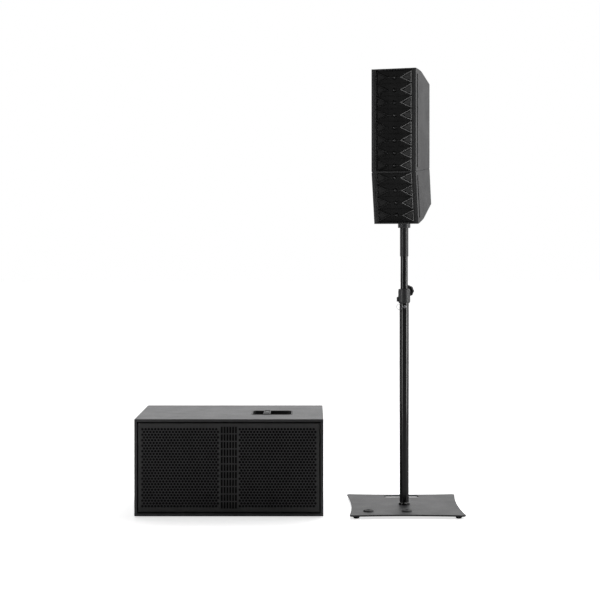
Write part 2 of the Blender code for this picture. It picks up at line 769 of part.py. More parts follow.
def build_upper_tube(frame):
    turned(
        "upper_tube",
        [
            (UPPER_R, UPPER_TOP_Z),
            (UPPER_R, UPPER_BOTTOM_Z),
            (UPPER_BORE_R, UPPER_BOTTOM_Z),
            (UPPER_BORE_R, UPPER_TOP_Z),
        ],
        frame,
        "steel_black",
    )
    skirt_r, plug_r = LOWER_BORE_R - GAP, UPPER_BORE_R - GAP
    turned(
        "tube_glide",
        [
            (0, UPPER_BOTTOM_Z + 0.020),
            (plug_r, UPPER_BOTTOM_Z + 0.020),
            (plug_r, UPPER_BOTTOM_Z - GAP),
            (skirt_r, UPPER_BOTTOM_Z - GAP),
            (skirt_r, UPPER_BOTTOM_Z - 0.022),
            (0, UPPER_BOTTOM_Z - 0.022),
        ],
        frame,
        "plastic",
    )
    turned(
        "pole_adapter",
        [
            (0, ADAPTER_TOP_Z),
            (ADAPTER_R - 0.001, ADAPTER_TOP_Z),
            (ADAPTER_R, ADAPTER_TOP_Z - 0.001),
            (ADAPTER_R, ADAPTER_BOTTOM_Z),
            (ADAPTER_BORE_R, ADAPTER_BOTTOM_Z),
            (ADAPTER_BORE_R, UPPER_TOP_Z + GAP),
            (0, UPPER_TOP_Z + GAP),
        ],
        frame,
        "plastic",
    )


def build_stand():
    frame = make_frame("stand_frame", (STAND_X, STAND_Y, 0))
    build_base(frame)
    build_lower_tube(frame)
    build_clamp(frame)
    build_locking_pin(frame)
    build_upper_tube(frame)


# ---------------------------------------------------------------- column array


def module_outline(length, up, hollow=False, grow=0.0):
    """Side profile of a module as (y, z): its wedge end at z = 0, its sloping end at z = up * length.

    The hollow inside is an outline of its own, which runs out through the front.
    """
    end, back_wall = (ARRAY_END_WALL, ARRAY_WALL) if hollow else (-grow, -grow)
    slope, fall = math.tan(WEDGE), (REAR_DROP - KNEE_DROP) / (ARRAY_D - KNEE_Y)
    front, back = -0.010 if hollow else -grow, ARRAY_D - back_wall
    points = [(front, front * slope + end), (back, back * slope + end)]
    points.append((back, length - KNEE_DROP - (back - KNEE_Y) * fall - end))
    for step in range(5, 0, -1):
        y = KNEE_Y * step / 5
        points.append((y, length - KNEE_DROP * (y / KNEE_Y) ** 2 - end))
    points.append((front, length - end))
    return [(y, up * z) for y, z in points]


def build_cabinet(name, length, up, frame):
    body = as_mesh(flat(name, [module_outline(length, up)], ARRAY_W, frame, "paint", rotation=SIDE_ON))
    hollow = flat(
        f"cut_{name}",
        [module_outline(length, up, hollow=True)],
        ARRAY_W - 2 * ARRAY_WALL,
        frame,
        None,
        rotation=SIDE_ON,
    )
    cutters = [as_mesh(hollow)]
    low, high = sorted((up * BEZEL_SEAM, up * (length - BEZEL_END)))
    mouth, deep = ARRAY_W / 2 - BEZEL_SIDE, GUIDE_SET_BACK + GUIDE_T + GAP
    opening = box((-mouth, -0.010, low), (mouth, deep, high))
    cutters.append(solids(f"cut_{name}_mouth", [opening], frame, None))
    low, high = sorted((up * 0.018, up * (length - 0.020)))
    for side in (-1, 1):
        x = side * ARRAY_W / 2
        y = SIDE_SLOT_Y - SIDE_SLOT_W / 2
        cutters.append(
            solids(
                f"cut_{name}_slot_{side + 1}",
                [box((x - SIDE_SLOT_DEEP, y, low), (x + SIDE_SLOT_DEEP, y + SIDE_SLOT_W, high))],
                frame,
                None,
            )
        )
    return cut(body, *cutters)


def cell_heights(length, cells, up):
    """Middles of a module's cells, evenly spread over the field of the waveguide."""
    middle = (BEZEL_SEAM + length - BEZEL_END) / 2
    return [up * (middle + (i - (cells - 1) / 2) * CELL_PITCH) for i in range(cells)]


def build_waveguide(name, length, cells, up, frame):
    """Moulded front: a round throat for each driver between two triangular wings, and a bullet on a bar."""
    width = ARRAY_W - 2 * BEZEL_SIDE - 2 * GAP
    height = length - BEZEL_SEAM - BEZEL_END - 2 * GAP
    middle = up * (BEZEL_SEAM + length - BEZEL_END) / 2
    throats = [circle(0.0205, 0, z, 16) for z in cell_heights(length, cells, up)]
    plate = flat(
        name,
        [rectangle(width, height, 0, middle)] + throats,
        GUIDE_T,
        frame,
        "plastic",
        location=(0, GUIDE_SET_BACK + GUIDE_T / 2, 0),
        rotation=FACING_FRONT,
    )
    plate = as_mesh(plate)
    wings, bars = [], []
    for z in cell_heights(length, cells, up):
        near, far = GUIDE_SET_BACK + 0.001, GUIDE_SET_BACK + 0.004
        bars.append(box((-0.024, near, z - 0.0015), (0.024, far, z + 0.0015)))
        bars.append(rod(0.0050, (0, near - 0.002, z), (0, near + 0.0005, z), 10))
        for side in (-1, 1):
            tall = CELL_PITCH * 0.44
            wings.append([(side * 0.026, z), (side * 0.069, z - tall), (side * 0.069, z + tall)])
    raised = flat(
        f"{name}_wings",
        wings,
        0.005,
        frame,
        None,
        location=(0, GUIDE_SET_BACK, 0),
        rotation=FACING_FRONT,
    )
    bridges = solids(f"{name}_bars", bars[0::2], frame, None)
    bullets = solids(f"{name}_bullets", bars[1::2], frame, None)
    join(plate, as_mesh(raised), bridges, bullets)


def build_drivers(module, length, cells, up, frame):
    face = GUIDE_SET_BACK + GUIDE_T + GAP
    for number, z in enumerate(cell_heights(length, cells, up), 1):
        profile = [
            (0, -0.006),
            (0.0140, 0 - 0.001),
            (DRIVER_R, 0),
            (DRIVER_R, -0.004),
            (0.0150, -0.020),
            (0.0150, -DRIVER_DEPTH),
            (0, -DRIVER_DEPTH),
        ]
        turned(
            f"{module}_driver_{number}",
            profile,
            frame,
            "paper",
            12,
            location=(0, face, z),
            rotation=FACING_FRONT,
        )


def build_pole_socket(frame, lower_frame):
    """Cast cup under the lower module, which takes the adapter. Its flange follows the sloping bottom."""
    cup_top, bore_top = ADAPTER_TOP_Z + 0.007, ADAPTER_TOP_Z + GAP
    cup = turned(
        "pole_socket",
        [
            (0, cup_top),
            (SOCKET_R, cup_top),
            (SOCKET_R, SOCKET_RIM_Z + 0.002),
            (SOCKET_R - 0.002, SOCKET_RIM_Z),
            (SOCKET_BORE_R, SOCKET_RIM_Z),
            (SOCKET_BORE_R, bore_top),
            (0, bore_top),
        ],
        frame,
        "steel_black",
    )
    cup = as_mesh(cup)
    flange = turned(
        "socket_flange",
        [(0.0420, 1.210), (0.0420, 1.150), (SOCKET_R - 0.003, 1.150), (SOCKET_R - 0.003, 1.210)],
        frame,
        None,
    )
    flange = as_mesh(flange)
    grown = flat(
        "cut_flange",
        [module_outline(LOWER_L, -1, grow=GAP)],
        ARRAY_W + 0.002,
        lower_frame,
        None,
        rotation=SIDE_ON,
    )
    cut(flange, as_mesh(grown))
    join(cup, flange)


def build_array():
    frame = make_frame("array_frame", (STAND_X, STAND_Y, 0), (0, 0, -ARRAY_YAW))
    seam, below = (0, -POLE_DEPTH, JOIN_Z), (0, -POLE_DEPTH, JOIN_Z - GAP)
    upper = make_frame("upper_frame", seam, parent=frame)
    lower = make_frame("lower_frame", below, (2 * WEDGE, 0, 0), parent=frame)
    upper_box = build_cabinet("upper_cabinet", UPPER_L, 1, upper)
    lower_box = build_cabinet("lower_cabinet", LOWER_L, -1, lower)
    build_waveguide("upper_waveguide", UPPER_L, UPPER_CELLS, 1, upper)
    build_waveguide("lower_waveguide", LOWER_L, LOWER_CELLS, -1, lower)
    build_drivers("upper", UPPER_L, UPPER_CELLS, 1, upper)
    build_drivers("lower", LOWER_L, LOWER_CELLS, -1, lower)
    build_pole_socket(frame, lower)
    cup_room = rod(SOCKET_R + GAP * 2, (0, 0, 1.100), (0, 0, ADAPTER_TOP_Z + 0.0076), 32)
    socket_hole = solids("cut_socket_hole", [cup_room], frame, None)
    cut(lower_box, socket_hole)

    lean = Vector((0, -math.sin(WEDGE), math.cos(WEDGE)))
    for name, y in (("link_bolt_front", 0.078), ("link_bolt_rear", 0.180)):
        middle = Vector((0, y, y * math.tan(WEDGE)))
        through = rod(0.0043, middle - lean * 0.030, middle + lean * 0.030, 12)
        bore = solids(f"cut_{name}", [through], upper, None)
        cut(upper_box, bore)
        cut(lower_box, bore)
        bolt = [rod(0.0039, middle - lean * 0.0100, middle + lean * 0.0100, 12)]
        bolt += [rod(0.0070, middle + lean * s * 0.0068, middle + lean * s * 0.0120, 6) for s in (-1, 1)]
        fused(name, bolt, upper, "chrome")

    place = {"location": (0, ARRAY_D, -LOWER_L * 0.44)}
    hole = solids("cut_socket", [rod(SOCKET_HOLE_R, (0, -0.030, 0), (0, 0.010, 0), 16)], lower, None, **place)
    cut(lower_box, hole)
    build_socket("array_socket", lower, SOCKET_HOLE_R, **place)


build_sub()
build_stand()
build_array()
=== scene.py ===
"""A column PA system, dressed piece by piece round its fixed frame.

The bass cabinet stands beside a plate stand that carries a column of two wedge-ended modules.
Sizes are in metres. Each sub-assembly is a class whose fields are its sizes, and each finish is
a frozen dataclass that makes its own procedural material.
"""

import logging
import math
from dataclasses import dataclass, field
from enum import Enum
from typing import Iterable, Sequence

import bmesh
import bpy
from mathutils import Matrix, Vector


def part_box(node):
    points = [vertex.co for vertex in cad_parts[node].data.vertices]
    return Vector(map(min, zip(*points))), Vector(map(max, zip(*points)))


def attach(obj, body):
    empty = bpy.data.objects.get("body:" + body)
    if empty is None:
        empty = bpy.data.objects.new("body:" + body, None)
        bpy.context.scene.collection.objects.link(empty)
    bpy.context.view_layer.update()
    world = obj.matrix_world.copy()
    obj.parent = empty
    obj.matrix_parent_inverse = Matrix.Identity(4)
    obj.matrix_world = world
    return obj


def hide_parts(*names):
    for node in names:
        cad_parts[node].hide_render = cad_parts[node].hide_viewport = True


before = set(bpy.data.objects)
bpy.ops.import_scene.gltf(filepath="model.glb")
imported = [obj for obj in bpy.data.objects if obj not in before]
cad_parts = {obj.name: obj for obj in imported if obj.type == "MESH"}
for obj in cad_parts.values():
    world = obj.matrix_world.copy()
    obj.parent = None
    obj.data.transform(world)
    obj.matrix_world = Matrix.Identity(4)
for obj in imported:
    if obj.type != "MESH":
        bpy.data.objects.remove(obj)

LOG = logging.getLogger("column_pa_system")
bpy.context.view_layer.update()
GAP = 0.0003  # room left between pieces that touch
TINY = 1e-6
HERE = Matrix.Identity(4)
SMOOTH_ANGLE = math.radians(35)
FACING_FRONT = Matrix.Rotation(math.pi / 2, 4, "X")  # an outline's (x, y) becomes (X, Z)
FACING_BACK = Matrix.Rotation(-math.pi / 2, 4, "X")  # local +Z points to the back
SIDE_ON = Matrix.Rotation(math.pi / 2, 4, "Z") @ Matrix.Rotation(math.pi / 2, 4, "X")

Point2 = tuple[float, float]
Point3 = tuple[float, float, float]


def shift(x: float = 0.0, y: float = 0.0, z: float = 0.0) -> Matrix:
    """Returns the move by (x, y, z)."""
    return Matrix.Translation((x, y, z))


def middle_of(node: str) -> Vector:
    """Returns the middle of the box round one of the frame's nodes."""
    low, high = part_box(node)
    return (low + high) / 2


def foot_of(node: str) -> Matrix:
    """Returns the move to the middle of the underside of one of the frame's nodes."""
    middle = middle_of(node)
    return shift(middle.x, middle.y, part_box(node)[0].z)


# ------------------------------------------------------------------ outlines


def circle(radius: float, x: float = 0.0, y: float = 0.0, steps: int = 48) -> list[Point2]:
    """Draws a circle.

    Args:
        radius: Its radius.
        x: Its middle's first coordinate.
        y: Its middle's second coordinate.
        steps: How many points it has.

    Returns:
        Its points, counter-clockwise.
    """
    turns = [math.tau * i / steps for i in range(steps)]
    return [(x + radius * math.cos(a), y + radius * math.sin(a)) for a in turns]


def rectangle(width: float, height: float, x: float = 0.0, y: float = 0.0) -> list[Point2]:
    """Returns the four corners of a rectangle with its middle at (x, y), counter-clockwise."""
    w, h = width / 2, height / 2
    return [(x - w, y - h), (x + w, y - h), (x + w, y + h), (x - w, y + h)]


@dataclass(frozen=True)
class Outline:
    """A convex outline with round corners, which can be drawn again further in."""

    corners: tuple[Point2, ...]
    radius: float
    steps: int = 5

    def inset(self, distance: float) -> list[Point2]:
        """Draws the outline further in.

        Args:
            distance: How far in, or out if it is negative.

        Returns:
            Points, the same number for every distance.
        """
        radius = max(self.radius - distance, 0.0002)
        sharp = self.move_in(distance + radius)
        count, points = len(sharp), []
        for i in range(count):
            before = self.outward(i - 1)
            after = self.outward(i)
            start = math.atan2(before.y, before.x)
            sweep = (math.atan2(after.y, after.x) - start) % math.tau
            for step in range(self.steps + 1):
                a = start + sweep * step / self.steps
                points.append((sharp[i].x + radius * math.cos(a), sharp[i].y + radius * math.sin(a)))
        return points

    def outward(self, side: int) -> Vector:
        """Returns the unit vector that points out of the side that starts at corner `side`."""
        count = len(self.corners)
        a, b = Vector(self.corners[side % count]), Vector(self.corners[(side + 1) % count])
        along = (b - a).normalized()
        return Vector((along.y, -along.x))

    def move_in(self, distance: float) -> list[Vector]:
        """Moves the sides in and returns where they then meet."""
        count, met = len(self.corners), []
        for i in range(count):
            n0, n1 = self.outward(i - 1), self.outward(i)
            corner = Vector(self.corners[i])
            met.append(corner - (n0 + n1) * (distance / (1 + n0.dot(n1))))
        return met


def round_box(width: float, height: float, radius: float, x: float = 0.0, y: float = 0.0) -> Outline:
    """Returns the outline of a rectangle with round corners and its middle at (x, y)."""
    return Outline(tuple(rectangle(width, height, x, y)), radius)


def rod(radius: float, low: float, high: float) -> list[Point2]:
    """Returns the profile of a plain round rod between two heights."""
    return [(0, low), (radius, low), (radius, high), (0, high)]


# ------------------------------------------------------------------ shapes


class Shape:
    """A mesh in the making, to which solids are added and from which others are cut."""

    def __init__(self) -> None:
        """Starts with nothing in it."""
        self.bm = bmesh.new()

    def skin(self, rings: Sequence[Sequence[Point3]], place: Matrix, ring_shut: bool = False) -> "Shape":
        """Stretches a skin over rings of points.

        Args:
            rings: The rings, each with the same number of points, or with one point at a pole.
            place: Where the result goes.
            ring_shut: True if the last ring joins the first, and otherwise the ends are closed.

        Returns:
            This shape.
        """
        made = [[self.bm.verts.new(place @ Vector(p)) for p in ring] for ring in rings]
        pairs = list(zip(made, made[1:]))
        if ring_shut:
            pairs.append((made[-1], made[0]))
        faces = []
        for low, high in pairs:
            count = max(len(low), len(high))
            for i in range(count):
                j = (i + 1) % count
                loop = [low[i % len(low)], low[j % len(low)], high[j % len(high)], high[i % len(high)]]
                loop = list(dict.fromkeys(loop))
                if len(loop) > 2:
                    faces.append(self.bm.faces.new(loop))
        if not ring_shut:
            for ring in (made[0], made[-1]):
                if len(ring) > 2:
                    faces.append(self.bm.faces.new(ring))
        bmesh.ops.recalc_face_normals(self.bm, faces=faces)
        return self

    def turn(
        self,
        profile: Sequence[Point2],
        place: Matrix,
        sides: int = 64,
        shut: bool = False,
        hexagons: Iterable[int] = (),
        lobes: tuple[int, float] = (0, 0.0),
    ) -> "Shape":
        """Turns a profile about the Z axis.

        Args:
            profile: (radius, height) of each ring, and radius 0 for a point on the axis.
            place: Where the result goes.
            sides: How many points a ring has.
            shut: True for a hollow ring, whose profile closes on itself.
            hexagons: Which rings are six-sided.
            lobes: How many bumps the rings have, and how high they are as a share of the radius.

        Returns:
            This shape.
        """
        rings = []
        for number, (radius, height) in enumerate(profile):
            if radius < 1e-7:
                rings.append([(0.0, 0.0, height)])
                continue
            ring = []
            for i in range(sides):
                a = math.tau * i / sides
                r = radius * (1 + lobes[1] * math.cos(lobes[0] * a))
                if number in hexagons:
                    r = radius * math.cos(math.pi / 6) / math.cos(a % (math.pi / 3) - math.pi / 6)
                ring.append((r * math.cos(a), r * math.sin(a), height))
            rings.append(ring)
        return self.skin(rings, place, shut)

    def loft(self, outline: Outline, profile: Sequence[Point2], place: Matrix, shut: bool = False) -> "Shape":
        """Stretches a skin over one outline drawn at several insets and heights.

        Args:
            outline: The outline, in local X and Y.
            profile: (inset, height) of each ring.
            place: Where the result goes.
            shut: True for a hollow frame, whose profile closes on itself.

        Returns:
            This shape.
        """
        rings = [[(x, y, height) for x, y in outline.inset(inset)] for inset, height in profile]
        return self.skin(rings, place, shut)

    def block(self, low: Point3, high: Point3, radius: float, place: Matrix, steps: int = 3) -> "Shape":
        """Adds a box with rounded edges.

        Args:
            low: Its lowest corner.
            high: Its highest corner.
            radius: How round its edges are, 0 for sharp ones.
            place: Where the result goes.
            steps: How many faces a rounded edge has across.

        Returns:
            This shape.
        """
        part = bmesh.new()
        bmesh.ops.create_cube(part, size=1.0)
        size, middle = Vector(high) - Vector(low), (Vector(high) + Vector(low)) / 2
        for v in part.verts:
            v.co = Vector(a * b for a, b in zip(v.co, size)) + middle
        if radius:
            edges = part.edges[:]
            bmesh.ops.bevel(part, geom=edges, offset=radius, segments=steps, profile=0.5, affect="EDGES")
        return self.take(part, place)

    def slab(
        self, loops: Sequence[Sequence[Point2]], thickness: float, radius: float, place: Matrix
    ) -> "Shape":
        """Adds a flat plate with holes and rounded edges.

        Args:
            loops: The outline, then the outlines of its holes.
            thickness: Its thickness, with its middle at local Z 0.
            radius: How round its edges are.
            place: Where the result goes.

        Returns:
            This shape.
        """
        curve = bpy.data.curves.new("slab", "CURVE")
        curve.dimensions, curve.fill_mode = "2D", "BOTH"
        curve.extrude, curve.bevel_depth = thickness / 2 - radius, radius
        curve.bevel_resolution, curve.offset = 2, -radius
        for loop in loops:
            spline = curve.splines.new("POLY")
            spline.points.add(len(loop) - 1)
            for point, (x, y) in zip(spline.points, loop):
                point.co = (x, y, 0, 1)
            spline.use_cyclic_u = True
        mesh = shown_mesh(bpy.data.objects.new("slab", curve))
        part = bmesh.new()
        part.from_mesh(mesh)
        bmesh.ops.remove_doubles(part, verts=part.verts[:], dist=TINY)
        bmesh.ops.recalc_face_normals(part, faces=part.faces[:])
        return self.take(part, place)

    def wire(
        self, points: Sequence[Vector], radius: float, place: Matrix, sides: int = 12, loop: bool = False
    ) -> "Shape":
        """Adds a round wire along a line of points.

        Args:
            points: The line.
            radius: The wire's radius.
            place: Where the result goes.
            sides: How many points a ring has.
            loop: True if the line closes on itself.

        Returns:
            This shape.
        """
        count, rings = len(points), []
        across = None
        for i, point in enumerate(points):
            before = points[i - 1] if loop or i else points[i]
            after = points[(i + 1) % count] if loop or i < count - 1 else points[i]
            along = (after - before).normalized()
            if across is None:
                across = along.orthogonal().normalized()
            across = (across - along * across.dot(along)).normalized()
            side = along.cross(across)
            turns = [math.tau * k / sides for k in range(sides)]
            rings.append([tuple(point + (across * math.cos(a) + side * math.sin(a)) * radius) for a in turns])
        return self.skin(rings, place, loop)

    def take(self, part: "bmesh.types.BMesh", place: Matrix) -> "Shape":
        """Moves another mesh in at a place, and returns this shape."""
        part.transform(place)
        mesh = bpy.data.meshes.new("part")
        part.to_mesh(mesh)
        part.free()
        self.bm.from_mesh(mesh)
        bpy.data.meshes.remove(mesh)
        return self

    def cut(self, tool: "Shape") -> "Shape":
        """Cuts another shape out of this one, and returns this shape."""
        body, knife = self.as_object("body"), tool.as_object("knife")
        bpy.context.scene.collection.objects.link(knife)
        step = body.modifiers.new("cut", "BOOLEAN")
        step.operation, step.solver, step.object = "DIFFERENCE", "EXACT", knife
        mesh = shown_mesh(body)
        bpy.data.objects.remove(knife)
        self.bm.clear()
        self.bm.from_mesh(mesh)
        return self

    def soften(self, width: float, steps: int = 2, angle: float = 40.0) -> "Shape":
        """Rounds the edges that are sharper than an angle in degrees, and returns this shape."""
        body = self.as_object("body")
        step = body.modifiers.new("soften", "BEVEL")
        step.width, step.segments, step.limit_method = width, steps, "ANGLE"
        step.angle_limit = math.radians(angle)
        step.harden_normals = False
        mesh = shown_mesh(body)
        self.bm.clear()
        self.bm.from_mesh(mesh)
        return self

    def as_object(self, name: str) -> bpy.types.Object:
        """Returns a new object, in no collection, with a copy of this mesh."""
        mesh = bpy.data.meshes.new(name)
        self.bm.to_mesh(mesh)
        return bpy.data.objects.new(name, mesh)


def shown_mesh(thing: bpy.types.Object) -> bpy.types.Mesh:
    """Evaluates an object with its modifiers.

    Args:
        thing: The object, which is removed afterwards.

    Returns:
        Its final mesh.
    """
    bpy.context.scene.collection.objects.link(thing)
    bpy.context.view_layer.update()
    graph = bpy.context.evaluated_depsgraph_get()
    mesh = bpy.data.meshes.new_from_object(thing.evaluated_get(graph))
    bpy.data.objects.remove(thing)
    return mesh


# ------------------------------------------------------------------ finishes


class Texture(Enum):
    """How a surface is broken up close to."""

    GRAIN = "grain"  # moulded or sprayed, fine and even
    LEATHER = "leather"  # textured paint that dries in small cells
    BRUSHED = "brushed"  # drawn or rolled lengthwise
    OPEN_CELL = "open_cell"  # foam


@dataclass(frozen=True)
class Finish:
    """A finish: its colour, gloss and texture, and how much paler its edges are, as wear and as painted
    highlight.
    """

    slot: str
    colour: Point3
    roughness: float
    texture: Texture = Texture.GRAIN
    cells: float = 900.0  # texture cells in a metre
    depth: float = 0.00004  # how deep the texture is, in metres
    unevenness: float = 0.12  # how far the gloss strays
    mottle: float = 0.15  # how far the colour strays
    # Edges paler by pointiness: partly wear, partly a painted highlight where edges catch light.
    edge_wear_and_highlight: float = 0.0  # how much paler the edges are
    metallic: float = 0.0
    sheen: float = 0.5  # the shader's specular level

    def material(self) -> bpy.types.Material:
        """Makes the material, or finds it if it has been made already.

        Returns:
            The material, named after its slot.
        """
        name = f"finish_{self.slot}_{self.cells:.0f}"
        known = bpy.data.materials.get(name)
        if known:
            return known
        made = bpy.data.materials.new(name)
        made.use_nodes = True
        tree = made.node_tree
        shader = tree.nodes["Principled BSDF"]
        shader.inputs["Metallic"].default_value = self.metallic
        shader.inputs["Specular IOR Level"].default_value = self.sheen
        place = tree.nodes.new("ShaderNodeTexCoord")
        stretch = tree.nodes.new("ShaderNodeMapping")
        if self.texture is Texture.BRUSHED:
            stretch.inputs["Scale"].default_value = (1.0, 1.0, 0.06)
        tree.links.new(place.outputs["Object"], stretch.inputs["Vector"])
        fine = self.fine_pattern(tree, stretch.outputs["Vector"])
        coarse = tree.nodes.new("ShaderNodeTexNoise")
        coarse.inputs["Scale"].default_value = 14.0
        coarse.inputs["Detail"].default_value = 4.0
        tree.links.new(place.outputs["Object"], coarse.inputs["Vector"])
        self.lay_colour(tree, shader, coarse.outputs["Fac"], fine)
        self.lay_gloss(tree, shader, coarse.outputs["Fac"], fine)
        bump = tree.nodes.new("ShaderNodeBump")
        bump.inputs["Strength"].default_value = 1.0
        bump.inputs["Distance"].default_value = self.depth
        tree.links.new(fine, bump.inputs["Height"])
        tree.links.new(bump.outputs["Normal"], shader.inputs["Normal"])
        return made

    def fine_pattern(self, tree: bpy.types.NodeTree, vector: bpy.types.NodeSocket) -> bpy.types.NodeSocket:
        """Lays the texture's own pattern.

        Args:
            tree: The material's nodes.
            vector: Where on the surface.

        Returns:
            The socket with its height, 0 to 1.
        """
        if self.texture in (Texture.LEATHER, Texture.OPEN_CELL):
            cells = tree.nodes.new("ShaderNodeTexVoronoi")
            cells.feature = "SMOOTH_F1" if self.texture is Texture.LEATHER else "F1"
            cells.inputs["Scale"].default_value = self.cells
            tree.links.new(vector, cells.inputs["Vector"])
            return cells.outputs["Distance"]
        noise = tree.nodes.new("ShaderNodeTexNoise")
        noise.inputs["Scale"].default_value = self.cells
        noise.inputs["Detail"].default_value = 3.0
        tree.links.new(vector, noise.inputs["Vector"])
        return noise.outputs["Fac"]

    def lay_colour(
        self,
        tree: bpy.types.NodeTree,
        shader: bpy.types.Node,
        coarse: bpy.types.NodeSocket,
        fine: bpy.types.NodeSocket,
    ) -> None:
        """Colours the surface: patches a little paler and darker, and paler edges, partly wear and partly a
        painted highlight.

        Args:
            tree: The material's nodes.
            shader: The material's shader.
            coarse: The slow pattern.
            fine: The texture's pattern.
        """
        ramp = tree.nodes.new("ShaderNodeValToRGB")
        ends = ((0.35, 1 - self.mottle), (0.65, 1 + self.mottle))
        for stop, (position, factor) in zip(ramp.color_ramp.elements, ends):
            stop.position = position
            stop.color = (*(c * factor for c in self.colour), 1)
        blend = tree.nodes.new("ShaderNodeMath")
        blend.operation = "MULTIPLY_ADD"
        blend.inputs[1].default_value = 0.25
        tree.links.new(fine, blend.inputs[0])
        tree.links.new(coarse, blend.inputs[2])
        tree.links.new(blend.outputs["Value"], ramp.inputs["Fac"])
        if not self.edge_wear_and_highlight:
            tree.links.new(ramp.outputs["Color"], shader.inputs["Base Color"])
            return
        # Paler edges where pointiness is high: partly wear, partly a painted highlight where edges catch
        # light.
        shape = tree.nodes.new("ShaderNodeNewGeometry")
        edge = tree.nodes.new("ShaderNodeMapRange")
        edge.inputs["From Min"].default_value = 0.53
        edge.inputs["From Max"].default_value = 0.62
        edge.inputs["To Max"].default_value = self.edge_wear_and_highlight
        tree.links.new(shape.outputs["Pointiness"], edge.inputs["Value"])
        worn_and_lit_edges = tree.nodes.new("ShaderNodeMix")
        worn_and_lit_edges.data_type = "RGBA"
        worn_and_lit_edges.inputs["B"].default_value = (*(min(c * 4 + 0.03, 1.0) for c in self.colour), 1)
        tree.links.new(edge.outputs["Result"], worn_and_lit_edges.inputs["Factor"])
        tree.links.new(ramp.outputs["Color"], worn_and_lit_edges.inputs["A"])
        tree.links.new(worn_and_lit_edges.outputs["Result"], shader.inputs["Base Color"])

    def lay_gloss(
        self,
        tree: bpy.types.NodeTree,
        shader: bpy.types.Node,
        coarse: bpy.types.NodeSocket,
        fine: bpy.types.NodeSocket,
    ) -> None:
        """Varies the roughness with both patterns.

        Args:
            tree: The material's nodes.
            shader: The material's shader.
            coarse: The slow pattern.
            fine: The texture's pattern.
        """
        both = tree.nodes.new("ShaderNodeMath")
        both.operation = "ADD"
        tree.links.new(coarse, both.inputs[0])
        tree.links.new(fine, both.inputs[1])
        gloss = tree.nodes.new("ShaderNodeMapRange")
        gloss.inputs["From Min"].default_value = 0.5
        gloss.inputs["From Max"].default_value = 1.5
        gloss.inputs["To Min"].default_value = max(self.roughness - self.unevenness, 0.05)
        gloss.inputs["To Max"].default_value = min(self.roughness + self.unevenness, 1.0)
        tree.links.new(both.outputs["Value"], gloss.inputs["Value"])
        tree.links.new(gloss.outputs["Result"], shader.inputs["Roughness"])


class Finishes:
    """Every finish of the system, by what it covers."""

    CABINET = Finish("cabinet_paint", (0.058, 0.058, 0.061), 0.47, Texture.LEATHER, 700, 0.00010, edge_wear_and_highlight=0.25)
    BAFFLE = Finish("baffle_board", (0.030, 0.026, 0.022), 0.8, cells=300)
    DUCT = Finish("duct_plastic", (0.012, 0.012, 0.012), 0.6)
    GRILLE = Finish("grille_steel", (0.062, 0.062, 0.063), 0.50, cells=1600, depth=0.00002, edge_wear_and_highlight=0.2)
    FOAM = Finish("black_foam", (0.002, 0.002, 0.002), 0.95, Texture.OPEN_CELL, 700, 0.0004, sheen=0.1)
    WOOFER = Finish("woofer_frame", (0.02, 0.02, 0.02), 0.5)
    CONE = Finish("paper_cone", (0.015, 0.015, 0.015), 0.75, cells=500, depth=0.0001)
    DISH = Finish("dish_plastic", (0.010, 0.010, 0.011), 0.5)
    GRIP = Finish("grip_plastic", (0.030, 0.030, 0.032), 0.5)
    PANEL = Finish("panel_steel", (0.022, 0.022, 0.024), 0.5, Texture.LEATHER, 1200, 0.00005, edge_wear_and_highlight=0.2)
    HEATSINK = Finish("heatsink_aluminium", (0.030, 0.030, 0.032), 0.42, Texture.BRUSHED, 1500, metallic=0.4)
    BADGE = Finish("grip_plastic", (0.10, 0.10, 0.105), 0.35, Texture.BRUSHED, 1800, 0.00002)
    BOARD = Finish("circuit_board", (0.02, 0.10, 0.045), 0.45)
    SOCKET = Finish("socket_plastic", (0.014, 0.014, 0.015), 0.42)
    SWITCH = Finish("switch_plastic", (0.012, 0.012, 0.013), 0.25)
    KNOB = Finish("knob_plastic", (0.004, 0.004, 0.0045), 0.70)
    PLATE = Finish("plate_steel", (0.030, 0.030, 0.032), 0.50, Texture.LEATHER, 1500, 0.00004, edge_wear_and_highlight=0.35)
    PLUG = Finish("plug_plastic", (0.006, 0.006, 0.0065), 0.6)
    ZINC = Finish("zinc_steel", (0.45, 0.45, 0.46), 0.35, metallic=1.0)
    TUBE = Finish("tube_steel", (0.008, 0.008, 0.0085), 0.17, cells=1200, depth=0.00001, edge_wear_and_highlight=0.3)
    COLLAR = Finish("collar_plastic", (0.060, 0.060, 0.063), 0.44)
    SHOE = Finish("shoe_plastic", (0.02, 0.02, 0.02), 0.5)
    CHROME = Finish(
        "chrome_steel", (0.42, 0.42, 0.44), 0.16, Texture.BRUSHED, 2500, 0.000004, 0.05, 0.04, metallic=1.0
    )
    GLIDE = Finish("glide_plastic", (0.02, 0.02, 0.02), 0.5)
    ADAPTER = Finish("adapter_plastic", (0.014, 0.014, 0.015), 0.45)
    SHELL = Finish("array_shell", (0.018, 0.018, 0.020), 0.51, Texture.LEATHER, 1300, 0.00006, edge_wear_and_highlight=0.3)
    GUIDE = Finish("waveguide_plastic", (0.010, 0.010, 0.0105), 0.60, cells=1500, depth=0.00002)
    BULLET = Finish("waveguide_plastic", (0.075, 0.075, 0.078), 0.34, cells=1900, depth=0.00001)
    # The recessed bed's copy of the waveguide plastic, darker than the wings: painted shade for the recess.
    BED_PAINTED_SHADE = Finish("waveguide_plastic", (0.0035, 0.0035, 0.004), 0.85, cells=1300, depth=0.00003)
    # The wing rims' copy of the waveguide plastic, paler than the wings: painted highlight where the rims
    # catch light.
    RIM_PAINTED_HIGHLIGHT = Finish("waveguide_plastic", (0.034, 0.034, 0.035), 0.26, cells=1700, depth=0.00001)
    CAST = Finish("cast_aluminium", (0.065, 0.065, 0.068), 0.42, cells=700, depth=0.00008, edge_wear_and_highlight=0.3)
    DRIVER = Finish("driver_steel", (0.010, 0.010, 0.010), 0.5)
    RUBBER = Finish("rubber_feet", (0.010, 0.010, 0.010), 0.8, cells=1100)


